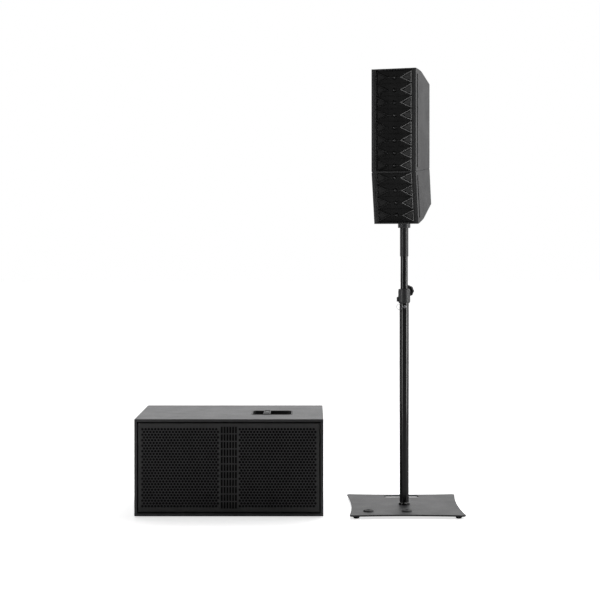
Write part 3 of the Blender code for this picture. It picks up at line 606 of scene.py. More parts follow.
def present(
    name: str,
    shape: Shape,
    finish: Finish,
    body: str,
    replaces: Sequence[str] = (),
    smooth: float = SMOOTH_ANGLE,
) -> bpy.types.Object:
    """Makes a shown piece out of a shape.

    Args:
        name: The piece's name.
        shape: Its shape, in the common frame.
        finish: What covers it.
        body: The body it moves with.
        replaces: The frame's nodes that it stands for.
        smooth: The angle, in radians, up to which faces are shaded as one surface.

    Returns:
        The piece.
    """
    piece = shape.as_object(name)
    bpy.context.scene.collection.objects.link(piece)
    piece.data.shade_smooth()
    piece.data.set_sharp_from_angle(angle=smooth)
    piece.data.materials.append(finish.material())
    flat_faces = piece.modifiers.new("flat_faces", "WEIGHTED_NORMAL")
    flat_faces.keep_sharp = True
    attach(piece, body)
    if replaces:
        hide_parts(*replaces)
    LOG.info("%s: %d faces, on %s", name, len(piece.data.polygons), body)
    return piece


def dress(finish: Finish, *nodes: str) -> None:
    """Gives a finish to nodes of the frame that are shown as they are."""
    for node in nodes:
        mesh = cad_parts[node].data
        mesh.materials.clear()
        mesh.materials.append(finish.material())
        LOG.info("%s: kept from the frame", node)


class Screws:
    """Small screws of one kind."""

    @staticmethod
    def pan_head(shape: Shape, radius: float, height: float, places: Iterable[Matrix]) -> Shape:
        """Adds round heads with a hexagonal recess.

        Args:
            shape: What they are added to.
            radius: A head's radius.
            height: A head's height.
            places: Where each head sits, local +Z pointing away from what it holds.

        Returns:
            The shape.
        """
        recess = radius * 0.5
        profile = [
            (0.0, height * 0.35), (recess, height * 0.35), (recess, height * 0.92),
            (recess * 1.25, height), (radius * 0.85, height * 0.75), (radius, height * 0.35),
            (radius, -0.0004), (0.0, -0.0004),
        ]
        for place in places:
            shape.turn(profile, place, 24, hexagons=(1, 2))
        return shape


# ------------------------------------------------------------------ bass cabinet


@dataclass
class PerforatedHalf:
    """One of the grille's two fields of round holes, in staggered rows."""

    left: float
    right: float
    height: float = 0.310
    rows: int = 29
    holes: int = 24
    hole_radius: float = 0.0049

    def __post_init__(self) -> None:
        """Works out the spacing of the holes."""
        self.pitch = (self.right - self.left) / (self.holes + 0.5)
        self.row_pitch = self.height / self.rows

    def edge_heights(self) -> list[float]:
        """Returns the heights at which the field's two upright edges have points."""
        return [self.height * (i / (2 * self.rows) - 0.5) for i in range(2 * self.rows + 1)]

    def edge_widths(self) -> list[float]:
        """Returns the places at which the field's level edges have points."""
        steps = 2 * self.holes + 1
        return [self.left + self.pitch * i / 2 for i in range(steps + 1)]

    def weave(self, sheet: "Sheet") -> None:
        """Adds the field's faces to a sheet.

        Args:
            sheet: The sheet, in whose plane the field lies.
        """
        for row in range(self.rows):
            low = -self.height / 2 + row * self.row_pitch
            high, middle = low + self.row_pitch, low + self.row_pitch / 2
            start = self.left + (self.pitch / 2 if row % 2 else 0.0)
            for number in range(self.holes):
                x0 = start + number * self.pitch
                xs = (x0, x0 + self.pitch / 2, x0 + self.pitch)
                rim = [
                    (xs[2], middle), (xs[2], high), (xs[1], high), (xs[0], high), (xs[0], middle),
                    (xs[0], low), (xs[1], low), (xs[2], low),
                ]
                sheet.pierced_cell(rim, (xs[1], middle), self.hole_radius)
            x0 = self.left if row % 2 else self.right - self.pitch / 2
            x1 = x0 + self.pitch / 2
            sheet.face([(x0, low), (x1, low), (x1, middle), (x1, high), (x0, high), (x0, middle)])


class Sheet:
    """A flat sheet in the XZ plane, made of faces that share their corners."""

    def __init__(self) -> None:
        """Starts with nothing in it."""
        self.bm = bmesh.new()
        self.known: dict[tuple[int, int], bmesh.types.BMVert] = {}

    def point(self, x: float, z: float) -> "bmesh.types.BMVert":
        """Returns the vertex at a place, the same one each time."""
        key = (round(x * 1e6), round(z * 1e6))
        if key not in self.known:
            self.known[key] = self.bm.verts.new((x, 0.0, z))
        return self.known[key]

    def face(self, corners: Sequence[Point2]) -> None:
        """Adds a face between corners, leaving out any corner that repeats."""
        loop = list(dict.fromkeys(self.point(x, z) for x, z in corners))
        self.bm.faces.new(loop)

    def pierced_cell(self, rim: Sequence[Point2], middle: Point2, radius: float) -> None:
        """Adds a cell with a round hole.

        Args:
            rim: The cell's eight outer points, from its right-hand side round counter-clockwise.
            middle: The hole's middle.
            radius: The hole's radius.
        """
        hole = circle(radius, *middle, steps=16)
        for i in range(8):
            j = (i + 1) % 8
            inner = [hole[(2 * i + 2) % 16], hole[2 * i + 1], hole[2 * i]]
            self.face([rim[i], rim[j], *inner])


@dataclass
class Grille:
    """Folded steel sheet with two fields of holes and a strip of slots between them."""

    width: float
    height: float
    thickness: float = 0.0015
    fold: float = 0.016
    bend: float = 0.003
    field_outer: float = 0.3425
    field_inner: float = 0.0365
    slot_columns: int = 6
    slot_rows: int = 11
    strip_width: float = 0.066
    strip_height: float = 0.322
    bar: float = 0.004

    def fields(self) -> list[PerforatedHalf]:
        """Returns the two perforated fields, left and right."""
        outer, inner = self.field_outer, self.field_inner
        return [PerforatedHalf(-outer, -inner), PerforatedHalf(inner, outer)]

    def build(self, place: Matrix) -> Shape:
        """Makes the grille.

        Args:
            place: Where its front face's middle goes, with the fold running to local +Y.

        Returns:
            Its shape.
        """
        sheet = Sheet()
        half_w, half_h = self.width / 2 - self.bend, self.height / 2 - self.bend
        for grid in self.fields():
            grid.weave(sheet)
            self.margins(sheet, grid, half_w, half_h)
        self.middle_strip(sheet, half_h)
        self.fold_back(sheet, half_w, half_h)
        bmesh.ops.recalc_face_normals(sheet.bm, faces=sheet.bm.faces[:])
        front = Shape().take(sheet.bm, HERE)
        body = front.as_object("grille")
        step = body.modifiers.new("thickness", "SOLIDIFY")
        step.thickness, step.offset, step.use_even_offset = self.thickness, -1.0, True
        mesh = shown_mesh(body)
        if sum(v.co.y for v in mesh.vertices) / len(mesh.vertices) < 0:
            LOG.warning("the grille's sheet thickened towards the front")
        part = bmesh.new()
        part.from_mesh(mesh)
        return Shape().take(part, place)

    def margins(self, sheet: Sheet, grid: PerforatedHalf, half_w: float, half_h: float) -> None:
        """Adds the plain strips above, below and outside a field.

        Args:
            sheet: The sheet they belong to.
            grid: The field.
            half_w: Half the flat face's width.
            half_h: Half the flat face's height.
        """
        heights, widths, top = grid.edge_heights(), grid.edge_widths(), grid.height / 2
        for edge in (-1, 1):
            inner = [(x, edge * top) for x in widths]
            sheet.face([(widths[0], edge * half_h), *inner, (widths[-1], edge * half_h)])
        outside = widths[0] if widths[0] < 0 else widths[-1]
        wall = math.copysign(half_w, outside)
        inner = [(outside, z) for z in heights]
        sheet.face([(wall, -half_h), (outside, -half_h), *inner, (outside, half_h), (wall, half_h)])

    def middle_strip(self, sheet: Sheet, half_h: float) -> None:
        """Adds the slotted strip and the plain strips beside it.

        Args:
            sheet: The sheet they belong to.
            half_h: Half the flat face's height.
        """
        step_x, step_z = self.strip_width / self.slot_columns, self.strip_height / self.slot_rows
        xs, zs = [-self.strip_width / 2], [-self.strip_height / 2]
        for i in range(self.slot_columns):
            xs += [xs[0] + i * step_x + self.bar / 2, xs[0] + (i + 1) * step_x - self.bar / 2]
        xs.append(self.strip_width / 2)
        for i in range(self.slot_rows):
            zs += [zs[0] + i * step_z + self.bar / 2, zs[0] + (i + 1) * step_z - self.bar / 2]
        zs.append(self.strip_height / 2)
        for column, (x0, x1) in enumerate(zip(xs, xs[1:])):
            for row, (z0, z1) in enumerate(zip(zs, zs[1:])):
                if column % 2 and row % 2:
                    continue
                sheet.face([(x0, z0), (x1, z0), (x1, z1), (x0, z1)])
        for edge in (-1, 1):
            inner = [(x, edge * self.strip_height / 2) for x in xs]
            sheet.face([(xs[0], edge * half_h), *inner, (xs[-1], edge * half_h)])
        for side, grid in zip((-1, 1), self.fields()):
            near, far = side * self.strip_width / 2, side * self.field_inner
            inner = [(near, z) for z in zs]
            outer = [(far, z) for z in reversed(grid.edge_heights())]
            ends = [(far, half_h)], [(far, -half_h)]
            sheet.face([(near, -half_h), *inner, (near, half_h), *ends[0], *outer, *ends[1]])

    def fold_back(self, sheet: Sheet, half_w: float, half_h: float) -> None:
        """Folds the sheet's outer edges back.

        Args:
            sheet: The sheet.
            half_w: Half the flat face's width.
            half_h: Half the flat face's height.
        """

        def on_edge(v: "bmesh.types.BMVert") -> bool:
            """Returns whether a vertex is on the flat face's outer edge."""
            return abs(abs(v.co.x) - half_w) < TINY or abs(abs(v.co.z) - half_h) < TINY

        edges = [e for e in sheet.bm.edges if e.is_boundary and all(on_edge(v) for v in e.verts)]
        turns = [math.pi / 8 * i for i in (1, 2, 3, 4)]
        path = [(self.bend * math.sin(a), self.bend * (1 - math.cos(a))) for a in turns]
        path.append((self.bend, self.fold))
        for out, back in path:
            made = bmesh.ops.extrude_edge_only(sheet.bm, edges=edges)["geom"]
            verts = [g for g in made if isinstance(g, bmesh.types.BMVert)]
            for v in verts:
                x, z = self.home(v, half_w, half_h)
                v.co = (x + self.away(x, half_w) * out, back, z + self.away(z, half_h) * out)
            edges = [g for g in made if isinstance(g, bmesh.types.BMEdge)]

    @staticmethod
    def home(v: "bmesh.types.BMVert", half_w: float, half_h: float) -> Point2:
        """Returns where on the flat face's outer edge a folded vertex came from."""
        return max(-half_w, min(half_w, v.co.x)), max(-half_h, min(half_h, v.co.z))

    @staticmethod
    def away(value: float, edge: float) -> float:
        """Returns -1 or 1 for a value at an edge, and 0 between the edges."""
        return 0.0 if abs(abs(value) - edge) > TINY else math.copysign(1.0, value)


@dataclass
class BassCabinet:
    """Wide bass cabinet with its grille, handle, feet and amplifier panel."""

    width: float = 0.736
    depth: float = 0.452
    height: float = 0.378
    wall: float = 0.015
    rim: float = 0.011
    edge_radius: float = 0.0018
    grille_set_back: float = 0.002
    dish_x: float = 0.163
    dish_y: float = 0.202
    dish_w: float = 0.154
    dish_d: float = 0.119
    dish_depth: float = 0.055
    grip_x: float = -0.020
    grip_w: float = 0.028
    amp_z: float = 0.189
    amp_cut_w: float = 0.276
    amp_cut_h: float = 0.216
    place: Matrix = field(default_factory=Matrix)

    def __post_init__(self) -> None:
        """Places the cabinet where the frame has it."""
        low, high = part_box("sub_cabinet")
        self.place = shift((low.x + high.x) / 2, low.y, low.z)

    def build(self) -> None:
        """Builds and dresses every piece."""
        self.build_box()
        self.build_grille()
        self.build_handle()
        self.build_feet()
        dress(Finishes.BAFFLE, "sub_baffle")
        dress(Finishes.DUCT, "port_duct")
        dress(Finishes.WOOFER, "woofer_frame_left", "woofer_frame_right")
        dress(Finishes.CONE, "woofer_cone_left", "woofer_cone_right")
        dress(Finishes.BOARD, "amp_board")

    def build_box(self) -> None:
        """Builds the painted box with its rebated front edge."""
        half, top = self.width / 2, self.height
        box = Shape().block((-half, 0, 0), (half, self.depth, top), 0.0, HERE)
        inner, rim = half - self.wall, half - self.rim
        knife = Shape()
        knife.block((-inner, -0.010, self.wall), (inner, self.depth - self.wall, top - self.wall), 0.0, HERE)
        box.cut(knife)
        box.cut(Shape().block((-rim, -0.010, self.rim), (rim, 0.020, top - self.rim), 0.0, HERE))
        hole = round_box(self.dish_w + 0.0046, self.dish_d + 0.0046, 0.010, self.dish_x, self.dish_y)
        box.cut(Shape().loft(hole, [(0, top - 0.030), (0, top + 0.010)], HERE))
        w, low, high = self.amp_cut_w / 2, self.amp_z - self.amp_cut_h / 2, self.amp_z + self.amp_cut_h / 2
        box.cut(Shape().block((-w, self.depth - 0.030, low), (w, self.depth + 0.010, high), 0.0, HERE))
        box.soften(self.edge_radius, 3)
        box.bm.transform(self.place)
        present("bass_cabinet_box", box, Finishes.CABINET, "base", ["sub_cabinet"])

    def build_grille(self) -> None:
        """Builds the steel grille and the foam behind it."""
        middle = self.place @ shift(0, self.grille_set_back, self.height / 2)
        low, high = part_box("sub_grille")
        grille = Grille(high.x - low.x, high.z - low.z).build(middle)
        present("bass_grille", grille, Finishes.GRILLE, "base", ["sub_grille"])
        low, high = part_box("grille_foam")
        thick = high.y - low.y
        outline = round_box(high.x - low.x, high.z - low.z, 0.012)
        profile = [(0.0012, 0.0), (0.0, 0.0012), (0.0, thick - 0.0012), (0.0012, thick), (0.006, thick)]
        at = shift((low.x + high.x) / 2, high.y, (low.z + high.z) / 2) @ FACING_FRONT
        foam = Shape().loft(outline, profile, at)
        piece = present("grille_foam_sheet", foam, Finishes.FOAM, "base", ["grille_foam"])

    def build_handle(self) -> None:
        """Builds the dish in the top and the ribbed grip across it."""
        at = self.place @ shift(self.dish_x, self.dish_y, self.height)
        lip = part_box("handle_dish")[1].z - at.translation.z
        outline = round_box(self.dish_w, self.dish_d, 0.014)
        deep, wall = self.dish_depth, 0.002
        profile = [
            (-0.0058, GAP), (-0.0060, lip * 0.6), (-0.0055, lip), (-0.0008, lip),
            (0.0000, lip - 0.0006), (0.0015, -deep * 0.5), (0.0030, -deep + 0.008),
            (0.0055, -deep + 0.002), (0.0110, -deep), (0.0400, -deep), (0.0400, -deep - wall),
            (0.0090, -deep - wall), (0.0020, -deep + 0.004), (-wall, -0.004), (-wall, GAP),
        ]
        dish = Shape().loft(outline, profile, at, shut=True)
        dish.block((-0.042, -0.024, -deep - wall), (0.042, 0.024, -deep), 0.0, at)
        present("handle_tray", dish, Finishes.DISH, "base", ["handle_dish"])
        self.build_grip(at)

    def build_grip(self, at: Matrix) -> None:
        """Builds the grip.

        Args:
            at: The middle of the dish, level with the cabinet's top.
        """
        low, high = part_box("handle_grip")
        top, under = high.z - at.translation.z, low.z - at.translation.z
        reach, rest = self.dish_d / 2 + 0.004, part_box("handle_dish")[1].z - at.translation.z + GAP
        half, x = self.grip_w / 2, self.grip_x
        grip = Shape()
        grip.block((x - half, -reach, rest), (x + half, reach, top - 0.0008), 0.0008, at)
        inner = self.dish_d / 2 - 0.002
        grip.block((x - half + 0.003, -inner, under), (x + half - 0.003, inner, rest + 0.0008), 0.004, at, 4)
        ridges, plain_end, plain_middle, thin = 11, 0.012, 0.016, 0.0016
        for i in range(ridges):
            y = -reach + plain_end + 2 * (reach - plain_end) * i / (ridges - 1)
            if abs(y) < plain_middle:
                continue
            corners = (x - half + 0.003, y - thin, top - 0.0018), (x + half - 0.003, y + thin, top)
            grip.block(*corners, 0.0006, at, 2)
        present("handle_grip_bar", grip, Finishes.GRIP, "base", ["handle_grip"])
        edge = [(0, top - 0.0010), (0, top - 0.0004), (0.0004, top)]
        badge = Shape().loft(round_box(0.012, 0.026, 0.003, x, 0), edge, at)
        present("handle_grip_plate", badge, Finishes.BADGE, "base")

    def build_feet(self) -> None:
        """Builds the four rubber feet."""
        for number in range(1, 5):
            node = f"sub_foot_{number}"
            low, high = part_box(node)
            radius, tall = (high.x - low.x) / 2, high.z - low.z
            profile = [
                (0.0, 0.0025), (0.0045, 0.0025), (0.0055, 0.0), (radius - 0.0035, 0.0),
                (radius - 0.0022, 0.0008), (radius, tall - 0.0010), (radius - 0.0006, tall),
                (0.0, tall),
            ]
            foot = Shape().turn(profile, foot_of(node), 40)
            present(f"cabinet_foot_{number}", foot, Finishes.RUBBER, "base", [node])


@dataclass
class AmplifierPanel:
    """Panel let into the cabinet's back, with its sockets, controls and heatsink."""

    width: float = 0.300
    height: float = 0.240
    thickness: float = 0.003
    socket_hole: float = 0.012
    mains_w: float = 0.034
    mains_h: float = 0.028
    switch_w: float = 0.024
    switch_h: float = 0.020
    switch_tilt: float = math.radians(8.0)
    knob: Point2 = (-0.052, 0.030)
    mains: Point2 = (-0.034, -0.082)
    switch: Point2 = (-0.088, -0.082)
    place: Matrix = field(default_factory=Matrix)

    def __post_init__(self) -> None:
        """Places the panel's outside face where the frame has it."""
        low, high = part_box("amp_panel")
        self.place = shift((low.x + high.x) / 2, high.y, (low.z + high.z) / 2)

    def build(self) -> None:
        """Builds and dresses every piece."""
        self.build_plate()
        self.build_heatsink()
        self.build_inlet()
        self.build_switch()
        self.build_level_knob()
        for node in ("input_socket", "speaker_socket"):
            middle = middle_of(node)
            at = shift(middle.x, self.place.translation.y, middle.z)
            PanelSocket(node).build(at @ FACING_BACK, "base")

    def build_plate(self) -> None:
        """Builds the plate with its holes, and the screws round its edge."""
        loops = [round_box(self.width, self.height, 0.006).inset(0)]
        for node in ("input_socket", "speaker_socket"):
            middle = middle_of(node) - self.place.translation
            loops.append(circle(self.socket_hole, middle.x, middle.z))
        loops.append(circle(0.004, *self.knob, steps=24))
        loops.append(round_box(self.mains_w, self.mains_h, 0.002, *self.mains).inset(0))
        loops.append(round_box(self.switch_w, self.switch_h, 0.001, *self.switch).inset(0))
        at = self.place @ shift(0, -self.thickness / 2, 0) @ FACING_FRONT
        plate = Shape().slab(loops, self.thickness, 0.0005, at)
        marks, dial = 11, 0.0145
        for i in range(marks):
            a = math.radians(-60 + 30 * i)
            x, z = self.knob[0] + dial * math.cos(a), self.knob[1] + dial * math.sin(a)
            mark = self.place @ shift(x, 0, z) @ Matrix.Rotation(-a, 4, "Y")
            plate.block((-0.0014, -0.0002, -0.0004), (0.0014, 0.0003, 0.0004), 0.0001, mark, 1)
        present("amplifier_panel", plate, Finishes.PANEL, "base", ["amp_panel"])
        screws, reach_x, reach_z = Shape(), self.width / 2 - 0.006, self.height / 2 - 0.006
        spots = [(x * reach_x, z * reach_z) for x in (-1, -1 / 3, 1 / 3, 1) for z in (-1, 1)]
        spots += [(x * reach_x, 0.0) for x in (-1, 1)]
        places = [self.place @ shift(x, 0, z) @ FACING_BACK for x, z in spots]
        Screws.pan_head(screws, 0.0036, 0.0022, places)
        present("amplifier_screws", screws, Finishes.ZINC, "base")

    def build_heatsink(self) -> None:
        """Builds the finned heatsink."""
        low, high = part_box("amp_heatsink")
        wide, deep, fins = high.x - low.x, high.y - low.y, 9
        pitch, base = wide / (fins - 0.5), 0.005
        comb = [(0.0, 0.0), (wide, 0.0), (wide, base)]
        for fin in reversed(range(fins)):
            left = fin * pitch
            right = left + pitch / 2
            comb += [(right - 0.0004, base + 0.002), (right - 0.0012, deep - 0.001), (right - 0.0022, deep)]
            comb += [(left + 0.0022, deep), (left + 0.0012, deep - 0.001), (left + 0.0004, base + 0.002)]
            if fin:
                comb += [(left - 0.0006, base), (left - pitch / 2 + 0.0006, base)]
        comb.append((0.0, base))
        at = shift(low.x, low.y, (low.z + high.z) / 2)
        sink = Shape().slab([comb], high.z - low.z, 0.0003, at)
        present("amplifier_heatsink", sink, Finishes.HEATSINK, "base", ["amp_heatsink"])

    def build_inlet(self) -> None:
        """Builds the mains inlet: a framed recess with three blades."""
        at = self.place @ shift(self.mains[0], 0, self.mains[1]) @ FACING_BACK
        outline = round_box(self.mains_w - 2 * GAP, self.mains_h - 2 * GAP, 0.002)
        profile = [
            (0.014, -0.0160), (0.0042, -0.0160), (0.0030, -0.0150), (0.0030, 0.0002), (0.0022, 0.0010),
            (0.0006, 0.0010), (0.0, 0.0004), (0.0, -0.0300),
        ]
        inlet = Shape().loft(outline, profile, at)
        for x, z in ((-0.0065, 0.002), (0.0, -0.003), (0.0065, 0.002)):
            inlet.block((x - 0.0010, z - 0.0030, -0.0165), (x + 0.0010, z + 0.0030, -0.0030), 0.0004, at, 2)
        present("mains_socket", inlet, Finishes.SOCKET, "base", ["mains_inlet"])

    def build_switch(self) -> None:
        """Builds the power rocker, with a raised dot and a bar on its ends."""
        half = self.switch_h / 2 - 0.0015
        dip = half * 0.5
        outline = [(0.0045, half), (0.0032, dip), (0.0022, 0.0), (0.0032, -dip), (0.0045, -half)]
        outline += [(-0.0020, -half), (-0.0060, 0.0), (-0.0020, half)]
        tilt = Matrix.Rotation(self.switch_tilt, 4, "Z")
        at = self.place @ shift(self.switch[0], -0.0015, self.switch[1]) @ SIDE_ON @ tilt
        rocker = Shape().slab([outline], self.switch_w - 0.002, 0.0006, at)
        end = at @ shift(0, 0.0052, 0) @ Matrix.Rotation(math.pi / 2, 4, "Y")
        rocker.turn([(0, 0.0041), (0.0011, 0.0041), (0.0013, 0.0036), (0, 0.0036)], end, 20)
        rocker.block((0.0034, -0.0064, -0.0004), (0.0040, -0.0040, 0.0004), 0.0001, at, 1)
        present("power_rocker_cap", rocker, Finishes.SWITCH, "rocker", ["power_switch"])

    def build_level_knob(self) -> None:
        """Builds the fluted level knob with its pointer line."""
        low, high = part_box("level_knob")
        radius = (high.x - low.x) / 2
        at = self.place @ shift(self.knob[0], 0, self.knob[1]) @ FACING_BACK
        tall = high.y - self.place.translation.y
        knob = Shape()
        skirt = [(0, GAP), (radius - 0.0002, GAP), (radius, 0.0012), (radius - 0.0008, 0.0022), (0, 0.0022)]
        knob.turn(skirt, at, 48)
        grip = [(0, 0.002), (radius - 0.0012, 0.002), (radius - 0.0016, tall - 0.0012)]
        grip += [(radius - 0.0028, tall), (0, tall)]
        knob.turn(grip, at, 96, lobes=(16, 0.03))
        knob.turn(rod(0.003, -0.014, 0.001), at, 24)
        knob.block((-0.0004, 0.002, tall - 0.0004), (0.0004, radius - 0.0030, tall), 0.0001, at, 1)
        present("level_knob_cap", knob, Finishes.KNOB, "level", ["level_knob"])


@dataclass
class PanelSocket:
    """Round panel socket: flange, cup and a core with its contacts."""

    node: str
    radius: float = 0.012
    depth: float = 0.022

    def build(self, at: Matrix, body: str) -> None:
        """Builds the socket.

        Args:
            at: The middle of its hole on the panel's outside face, local +Z pointing out.
            body: The body it moves with.
        """
        r, wall, deep = self.radius, 0.0022, self.depth
        cup = Shape()
        profile = [
            (0, -deep), (r - GAP, -deep), (r - GAP, GAP), (r + 0.003, GAP), (r + 0.003, 0.0012),
            (r + 0.0025, 0.0018), (r - wall + 0.0008, 0.0018), (r - wall, 0.0010),
            (r - wall, -deep + 0.003), (0, -deep + 0.003),
        ]
        cup.turn(profile, at, 48)
        core = [(0, -0.0195), (0.0048, -0.0195), (0.0048, -0.0190), (0.0044, -0.0188), (0, -0.0188)]
        cup.turn(core, at, 32)
        for i in range(3):
            spin = at @ Matrix.Rotation(math.tau * i / 3, 4, "Z")
            contact = (r - wall - 0.0006, -0.0010, -0.0185), (r - wall + 0.0006, 0.0010, -0.0040)
            cup.block(*contact, 0.0002, spin, 1)
        present(f"{self.node}_cup", cup, Finishes.SOCKET, body, [self.node])


# ------------------------------------------------------------------ stand


@dataclass
class PlateStand:
    """Square base plate, telescopic tubes, clamp with its star knob, and safety pin."""

    plate: float = 0.450
    plate_t: float = 0.006
    corner_r: float = 0.012
    sag: float = 0.012
    slot: tuple[float, float, float] = (0.143, 0.036, 0.175)
    plug_hole: float = 0.011
    clamp_turn: float = math.radians(22.0)
    clamp_z: float = 0.874
    pin_z: float = 0.813
    place: Matrix = field(default_factory=Matrix)

    def __post_init__(self) -> None:
        """Places the stand where the frame has it, and finds the clamp screw's axis."""
        low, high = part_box("base_plate")
        self.place = shift((low.x + high.x) / 2, (low.y + high.y) / 2, 0)
        self.plate_z = (low.z + high.z) / 2
        turn = Matrix.Rotation(-self.clamp_turn, 4, "Z")
        self.clamp = self.place @ shift(0, 0, self.clamp_z) @ turn @ FACING_BACK

    def build(self) -> None:
        """Builds and dresses every piece."""
        self.build_plate()
        self.build_plugs_and_feet()
        self.build_lower_tube()
        self.build_collar()
        self.build_star_knob()
        self.build_pin()
        self.build_upper_tube()
        dress(Finishes.SHOE, "brake_shoe")
        dress(Finishes.GLIDE, "tube_glide")
        dress(Finishes.ZINC, "foot_bolt")

    def plate_outline(self, steps: int = 24) -> list[Point2]:
        """Draws the square with its four sides curving inwards.

        Args:
            steps: How many pieces a side is drawn in.

        Returns:
            Its points.
        """
        half, points = self.plate / 2, []
        for quarter in range(4):
            turn = Matrix.Rotation(math.pi / 2 * quarter, 2)
            for i in range(steps + 1):
                t = 2 * i / steps - 1
                side = Vector((half - self.sag * (1 - t * t), t * (half - self.corner_r)))
                points.append(tuple(turn @ side))
            for i in range(1, 8):
                a = math.pi / 16 * i
                middle = half - self.corner_r
                corner = Vector((middle + self.corner_r * math.cos(a), middle + self.corner_r * math.sin(a)))
                points.append(tuple(turn @ corner))
        return points

    def build_plate(self) -> None:
        """Builds the steel plate."""
        wide, deep, y = self.slot
        loops = [self.plate_outline(), round_box(wide, deep, 0.012, 0, y).inset(0), circle(0.0055, steps=24)]
        for node in ("plate_plug_middle", "plate_plug_corner"):
            middle = middle_of(node) - self.place.translation
            loops.append(circle(self.plug_hole, middle.x, middle.y, 32))
        plate = Shape().slab(loops, self.plate_t, 0.0009, self.place @ shift(0, 0, self.plate_z))
        present("stand_plate", plate, Finishes.PLATE, "base", ["base_plate"])

    def build_plugs_and_feet(self) -> None:
        """Builds the two round plugs and the four rubber feet."""
        top = self.plate_z + self.plate_t / 2
        for node in ("plate_plug_middle", "plate_plug_corner"):
            middle = middle_of(node)
            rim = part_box(node)[1].z - top
            profile = [
                (0, 0.0030), (0.0065, 0.0032), (0.0078, rim - 0.0008), (0.0100, rim),
                (0.0160, rim - 0.0002), (0.0190, rim - 0.0016), (0.0203, 0.0022), (0.0205, GAP),
                (self.plug_hole - 0.0006, GAP), (self.plug_hole - 0.0006, -self.plate_t),
                (0, -self.plate_t),
            ]
            plug = Shape().turn(profile, shift(middle.x, middle.y, top), 56)
            present(f"{node}_cap", plug, Finishes.PLUG, "base", [node])
        for number in range(1, 5):
            node = f"base_foot_{number}"
            low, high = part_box(node)
            radius, tall = (high.x - low.x) / 2, high.z - low.z
            profile = [
                (0, 0.003), (0.004, 0.003), (0.005, 0.0), (radius - 0.0030, 0.0),
                (radius - 0.0012, 0.0010), (radius, tall * 0.6), (radius, tall - 0.0006),
                (radius - 0.0006, tall), (0, tall),
            ]
            foot = Shape().turn(profile, foot_of(node), 40)
            present(f"stand_foot_{number}", foot, Finishes.RUBBER, "base", [node])

    def build_lower_tube(self) -> None:
        """Builds the lower tube, its welded foot and the hole of the safety pin."""
        low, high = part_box("lower_tube")
        bottom, top = low.z, high.z
        outer, bore, plug_top = 0.0185, 0.0165, bottom + 0.0247
        profile = [
            (outer - 0.0004, top), (outer, top - 0.0005), (outer, bottom + 0.0100),
            (outer + 0.0008, bottom + 0.0088), (outer + 0.0034, bottom + 0.0072),
            (outer + 0.0040, bottom + 0.0060), (outer + 0.0040, bottom + 0.0008),
            (outer + 0.0034, bottom), (0.0050, bottom), (0.0050, plug_top), (bore, plug_top),
            (bore, top - 0.0004), (bore + 0.0003, top),
        ]
        tube = Shape().turn(profile, self.place, 96, shut=True)
        pin = self.place @ shift(0, 0, self.pin_z) @ FACING_FRONT
        tube.cut(Shape().turn(rod(0.0034, 0.005, 0.030), pin, 32))
        present("lower_pole", tube, Finishes.TUBE, "base", ["lower_tube"])

    def build_collar(self) -> None:
        """Builds the clamp collar with its lug and its boss."""
        low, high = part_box("clamp_collar")
        bottom, top = low.z, high.z
        step, throat = 0.8623, 0.832
        profile = [
            (0.0208, top), (0.0215, top - 0.0006), (0.0236, top - 0.0035), (0.0240, top - 0.0100),
            (0.0240, bottom + 0.0300), (0.0245, bottom + 0.0285), (0.0245, bottom + 0.0060),
            (0.0238, bottom + 0.0045), (0.0222, bottom + 0.0040), (0.0220, bottom + 0.0006),
            (0.0215, bottom), (0.0188, bottom), (0.0188, step), (0.0162, step), (0.0162, throat),
            (0.0153, throat), (0.0153, top - 0.0006), (0.0160, top),
        ]
        collar = Shape().turn(profile, self.place, 96, shut=True)
        shoe, screw = 0.0058, 0.0046
        bore = [(0, 0.0100), (shoe, 0.0100), (shoe, 0.0255), (screw, 0.0255), (screw, 0.0320), (0, 0.0320)]
        collar.cut(Shape().turn(bore, self.clamp, 40))
        lug_low, lug_high = bottom + 0.006, bottom + 0.024
        left = low.x - self.place.translation.x
        collar.block((left, -0.0060, lug_low), (-0.0200, 0.0060, lug_high), 0.0015, self.place)
        boss = [(shoe, 0.0190), (0.0100, 0.0190), (0.0098, 0.0285), (0.0090, 0.0310)]
        boss += [(0.0050, 0.0310), (screw, 0.0300), (screw, 0.0255), (shoe, 0.0250)]
        collar.turn(boss, self.clamp, 40, shut=True)
        heights = (lug_low + 0.005, lug_high - 0.005)
        screws = [self.place @ shift(left + 0.0048, -0.0060, z) @ FACING_FRONT for z in heights]
        Screws.pan_head(collar, 0.0026, 0.0012, screws)
        present("pole_collar", collar, Finishes.COLLAR, "base", ["clamp_collar"])

    def build_star_knob(self) -> None:
        """Builds the star knob with its hub and screw."""
        knob = Shape()
        lobes = (8, 0.044)
        profile = [
            (0, 0.0420), (0.0190, 0.0420), (0.0216, 0.0432), (0.0228, 0.0460), (0.0228, 0.0560),
            (0.0216, 0.0588), (0.0190, 0.0600), (0.0120, 0.0600), (0.0112, 0.0594), (0.0100, 0.0592),
            (0, 0.0592),
        ]
        knob.turn(profile, self.clamp, 128, lobes=lobes)
        hub = [(0, 0.0352), (0.0092, 0.0352), (0.0100, 0.0362), (0.0104, 0.0425), (0, 0.0425)]
        knob.turn(hub, self.clamp, 48)
        screw = [(0, 0.0221), (0.0034, 0.0221), (0.0040, 0.0230), (0.0040, 0.0360), (0, 0.0360)]
        knob.turn(screw, self.clamp, 32)
        present("star_knob", knob, Finishes.KNOB, "knob", ["clamp_knob"])

